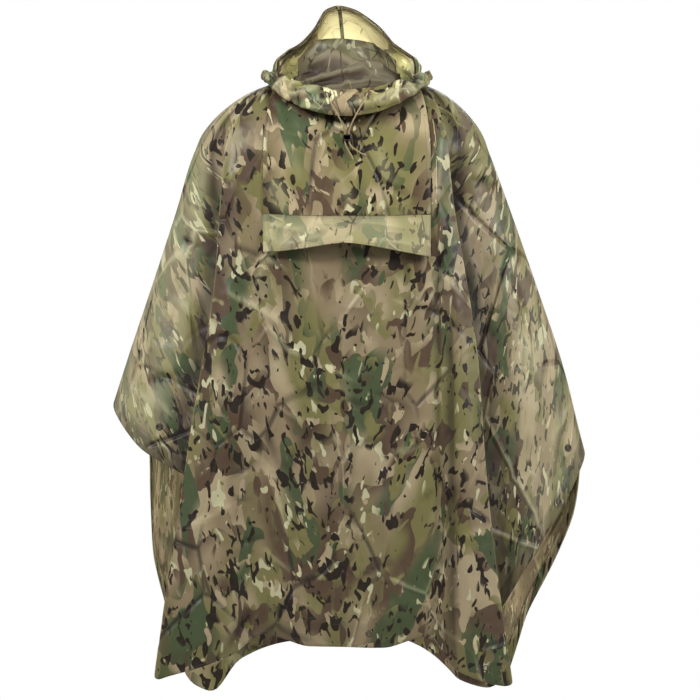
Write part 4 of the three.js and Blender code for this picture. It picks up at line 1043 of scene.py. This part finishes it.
# Snaps and eyelets: turned profiles, as radius and height in millimetres

ROUND_STEPS = 32
SNAP_PROFILE = (
    (0, 1.5), (1.2, 1.4), (1.9, 0.9), (2.3, 0.6), (3.1, 0.6), (3.5, 1.3), (3.8, 2.1),
    (4.4, 2.5), (5.2, 2.5), (5.9, 2.0), (6.6, 1.5), (7.2, 1.2), (7.5, 0.7), (7.3, 0.1), (0, 0),
)
EYELET_PROFILE = (
    (2.6, 0.2), (2.7, 0.9), (3.2, 1.4), (4.1, 1.6), (5.2, 1.4), (6.1, 0.9), (6.5, 0.3),
    (6.3, 0.0), (2.7, 0.0), (2.6, 0.2),
)


def turned_place(node):
    """Where a small turned solid sits on the cloth, and the way its top faces."""
    corners = np.array([vert.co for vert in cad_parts[node].data.vertices])
    low, high = (np.array(corner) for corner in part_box(node))
    spread = np.cov((corners - corners.mean(axis=0)).T)
    axis = Vector(np.linalg.eigh(spread)[1][:, 0])
    if axis.y * (-1 if (low + high)[1] < 0 else 1) < 0:
        axis.negate()
    heights = corners @ np.array(axis)
    centre = Vector((low + high) / 2)
    return centre + axis * (heights.min() - centre.dot(axis)), axis


def add_turned(name, node, profile, material):
    mesh = bmesh.new()
    line = [mesh.verts.new((radius * MM, 0, height * MM)) for radius, height in profile]
    edges = [mesh.edges.new(pair) for pair in zip(line, line[1:])]
    bmesh.ops.spin(mesh, geom=line + edges, cent=(0, 0, 0), axis=(0, 0, 1),
                   angle=2 * math.pi, steps=ROUND_STEPS, use_merge=True)
    bmesh.ops.remove_doubles(mesh, verts=mesh.verts, dist=0.01 * MM)
    bmesh.ops.recalc_face_normals(mesh, faces=mesh.faces)
    foot, axis = turned_place(node)
    turn = Vector((0, 0, 1)).rotation_difference(axis).to_matrix().to_4x4()
    bmesh.ops.transform(mesh, matrix=Matrix.Translation(foot) @ turn, verts=mesh.verts)
    return add_piece(name, finished_mesh(name, mesh), [node], [material])


front_studs, back_studs = (
    [add_turned(f"{node}_stud", node, SNAP_PROFILE, SNAP_METAL) for node in nodes]
    for nodes in (FRONT_SNAPS, BACK_SNAPS))
rings = [add_turned(f"{node}_ring", node, EYELET_PROFILE, SNAP_METAL)
         for node in EYELETS]

# Cord lock: a rounded block with both ends of the cord through it

LOCK_SIZE = (19 * MM, 10 * MM, 12 * MM)
LOCK_CENTRE = (0, -154.9 * MM, -107 * MM)
LOCK_ROUNDING = 2.6 * MM


def lock_block(size, centre, rounding):
    mesh = bmesh.new()
    bmesh.ops.create_cube(mesh, size=1)
    bmesh.ops.scale(mesh, vec=size, verts=mesh.verts)
    upright = [edge for edge in mesh.edges
               if abs(edge.verts[0].co.z - edge.verts[1].co.z) > size[2] / 2]
    bmesh.ops.bevel(mesh, geom=upright, offset=rounding, segments=5, profile=0.5,
                    affect="EDGES", material=-1)
    caps = [face for face in mesh.faces if abs(face.normal.z) > 0.9]
    rims = {edge for face in caps for edge in face.edges}
    bmesh.ops.bevel(mesh, geom=list(rims), offset=0.8 * MM, segments=3, profile=0.5,
                    affect="EDGES", material=-1)
    fronts = [face for face in mesh.faces if face.normal.y < -0.9]
    bmesh.ops.inset_region(mesh, faces=fronts, thickness=1.4 * MM, depth=-0.5 * MM)
    bmesh.ops.translate(mesh, vec=centre, verts=mesh.verts)
    return mesh


lock_mesh = lock_block(LOCK_SIZE, LOCK_CENTRE, LOCK_ROUNDING)
cord_lock = add_piece("cord_lock_barrel", finished_mesh("cord_lock_barrel", lock_mesh),
                      ["cord_lock"], [LOCK_PLASTIC])

# Stitches: short threads end to end along each sewn line

STITCH = {"pitch": 3.6 * MM, "length": 2.5 * MM, "width": 0.55 * MM, "height": 0.32 * MM}


def add_stitching(name, lines):
    """Stitches along lines, each a row of points and the ways the cloth faces there."""
    mesh = bmesh.new()
    for points, normals in lines:
        lengths = np.linalg.norm(np.diff(points, axis=0), axis=1)
        along = np.concatenate([[0], np.cumsum(lengths)])
        count = int(along[-1] / STITCH["pitch"])
        for place in (np.arange(count) + 0.5) * along[-1] / max(count, 1):
            index = min(int(np.searchsorted(along, place)), len(points) - 1)
            share = (place - along[index - 1]) / max(along[index] - along[index - 1], 1e-9)
            centre = Vector(points[index - 1] * (1 - share) + points[index] * share)
            ahead = Vector(points[index] - points[index - 1]).normalized()
            up = Vector(normals[index]).normalized()
            side = up.cross(ahead).normalized()
            up = ahead.cross(side)
            turn = Matrix((ahead, side, up)).transposed().to_4x4()
            size = Matrix.Diagonal((STITCH["length"] / 2, STITCH["width"] / 2,
                                    STITCH["height"] / 2, 1))
            centre += up * STITCH["height"] * 0.35
            bmesh.ops.create_icosphere(mesh, subdivisions=1, radius=1,
                                       matrix=Matrix.Translation(centre) @ turn @ size)
    return add_piece(name, finished_mesh(name, mesh), [], [STITCH_THREAD])


def row_line(points, normals, row, first=None, last=None):
    return points[row, first:last], normals[row, first:last]


def column_line(points, normals, column, first=None, last=None):
    return points[first:last, column], normals[first:last, column]


front_outward, chest_outward = (outward(points, (0, 0.3, -0.6))
                                for points in (front_points, chest_points))
back_outward = outward(back_points, (0, -0.3, -0.6))
flap_outward = outward(flap_points, (0, 0.3, -0.3))
hem_row = front_points.shape[0] - 1 - FRONT_DOWN
back_hem_row = back_points.shape[0] - 1 - BACK_DOWN


def square_lines(points, normals, side_at, columns):
    """The four sides of a stitched patch on the hem, from so far across its lower edge."""
    first = int(np.abs(points[-1, :, 0] - side_at).argmin())
    last = first + columns
    rows = slice(-HEM_PATCH_ROWS, -2)
    patch, ways = points[rows], normals[rows]
    return [row_line(patch, ways, 0, first, last + 1), row_line(patch, ways, -1, first, last + 1),
            column_line(patch, ways, first), column_line(patch, ways, last)]


HEM_PATCH_ROWS = 10
HEM_PATCHES = ((-104 * MM, 3), (-34 * MM, 4))  # where each starts, and its columns
front_hem_stitches = add_stitching("front_hem_stitches", [
    row_line(front_points, front_outward, hem_row, 4, -4),
    row_line(front_points, front_outward, -2, 4, -4),
    *(line for patch in HEM_PATCHES
      for line in square_lines(front_points, front_outward, *patch))])
back_hem_stitches = add_stitching("back_hem_stitches", [
    row_line(back_points, back_outward, back_hem_row, 4, -4),
    row_line(back_points, back_outward, -2, 4, -4)])
chest_stitches = add_stitching("chest_stitches", [
    column_line(chest_points, chest_outward, column, 20, -2) for column in (1, -2)])
flap_stitches = add_stitching("flap_stitches", [
    row_line(flap_points, flap_outward, 2, 2, -2), row_line(flap_points, flap_outward, 6, 2, -2),
    row_line(flap_points, flap_outward, -3, 2, -2)])
hood_stitches = add_stitching("hood_stitches", [
    column_line(hood_left_points, hood_left_normals, 6, 2, -8),
    column_line(hood_right_points, hood_right_normals, -7, 2, -8)])

# Sheets of cloth: the flat map of each is worked out and not kept



def declare_sheet(points):
    """A sheet of cloth: its flat map is worked out, and nothing is done with it."""
    flat = flat_map(points)


declare_sheet(front_points)
declare_sheet(back_points)
declare_sheet(chest_points)
declare_sheet(flap_points)
declare_sheet(hood_left_points)
declare_sheet(hood_right_points)
declare_sheet(cowl_points)
declare_sheet(throat_points)
declare_sheet(band_points)

# Floor and light

FLOOR_HEIGHT = -1.45
floor_mesh = bmesh.new()
bmesh.ops.create_circle(floor_mesh, segments=64, radius=2.3, cap_ends=True,
                        matrix=Matrix.Translation((0, 0, FLOOR_HEIGHT)))
floor = bpy.data.objects.new("floor", finished_mesh("floor", floor_mesh))
bpy.context.scene.collection.objects.link(floor)
floor_paint = Shading("floor_paint")
floor_paint.finish(screen_colour(236, 235, 232), 0.8)
floor.data.materials.append(floor_paint.material)

ROOM_LIGHT = 0.23  # what the pale room gives the cloth; the room itself looks white

world = bpy.data.worlds.new("studio")
world.use_nodes = True
room = world.node_tree.nodes["Background"]
room.inputs["Color"].default_value = (1, 1, 1, 1)
rays = world.node_tree.nodes.new("ShaderNodeLightPath")
brightness = world.node_tree.nodes.new("ShaderNodeMapRange")
brightness.inputs["To Min"].default_value = ROOM_LIGHT
brightness.inputs["To Max"].default_value = 1.0
world.node_tree.links.new(rays.outputs["Is Camera Ray"], brightness.inputs["Value"])
world.node_tree.links.new(brightness.outputs["Result"], room.inputs["Strength"])
bpy.context.scene.world = world
bpy.context.scene.view_settings.view_transform = "Standard"


def add_lamp(kind, name, place, aim, power, **settings):
    light = bpy.data.lights.new(name, kind)
    light.energy = power
    for setting, value in settings.items():
        setattr(light, setting, value)
    lamp = bpy.data.objects.new(name, light)
    lamp.location = place
    lamp.rotation_euler = (Vector(aim) - Vector(place)).to_track_quat("-Z", "Y").to_euler()
    bpy.context.scene.collection.objects.link(lamp)


add_lamp("AREA", "key", (-2.1, -1.5, 1.6), (0, 0, -0.4), 99, size=0.6)
add_lamp("AREA", "fill", (2.4, -1.2, 1.0), (0, 0, -0.5), 70, size=0.9)
add_lamp("AREA", "behind", (0.2, 3.4, 1.2), (0, 0, -0.4), 34, size=2.0)
# a narrow light that reaches into the hood, which lies in its own shade
add_lamp("SPOT", "hood", (-0.05, -3.0, 0.14), (0.0, 0.1, 0.12), 860,
         spot_size=math.radians(5.2), spot_blend=0.9, shadow_soft_size=0.12)
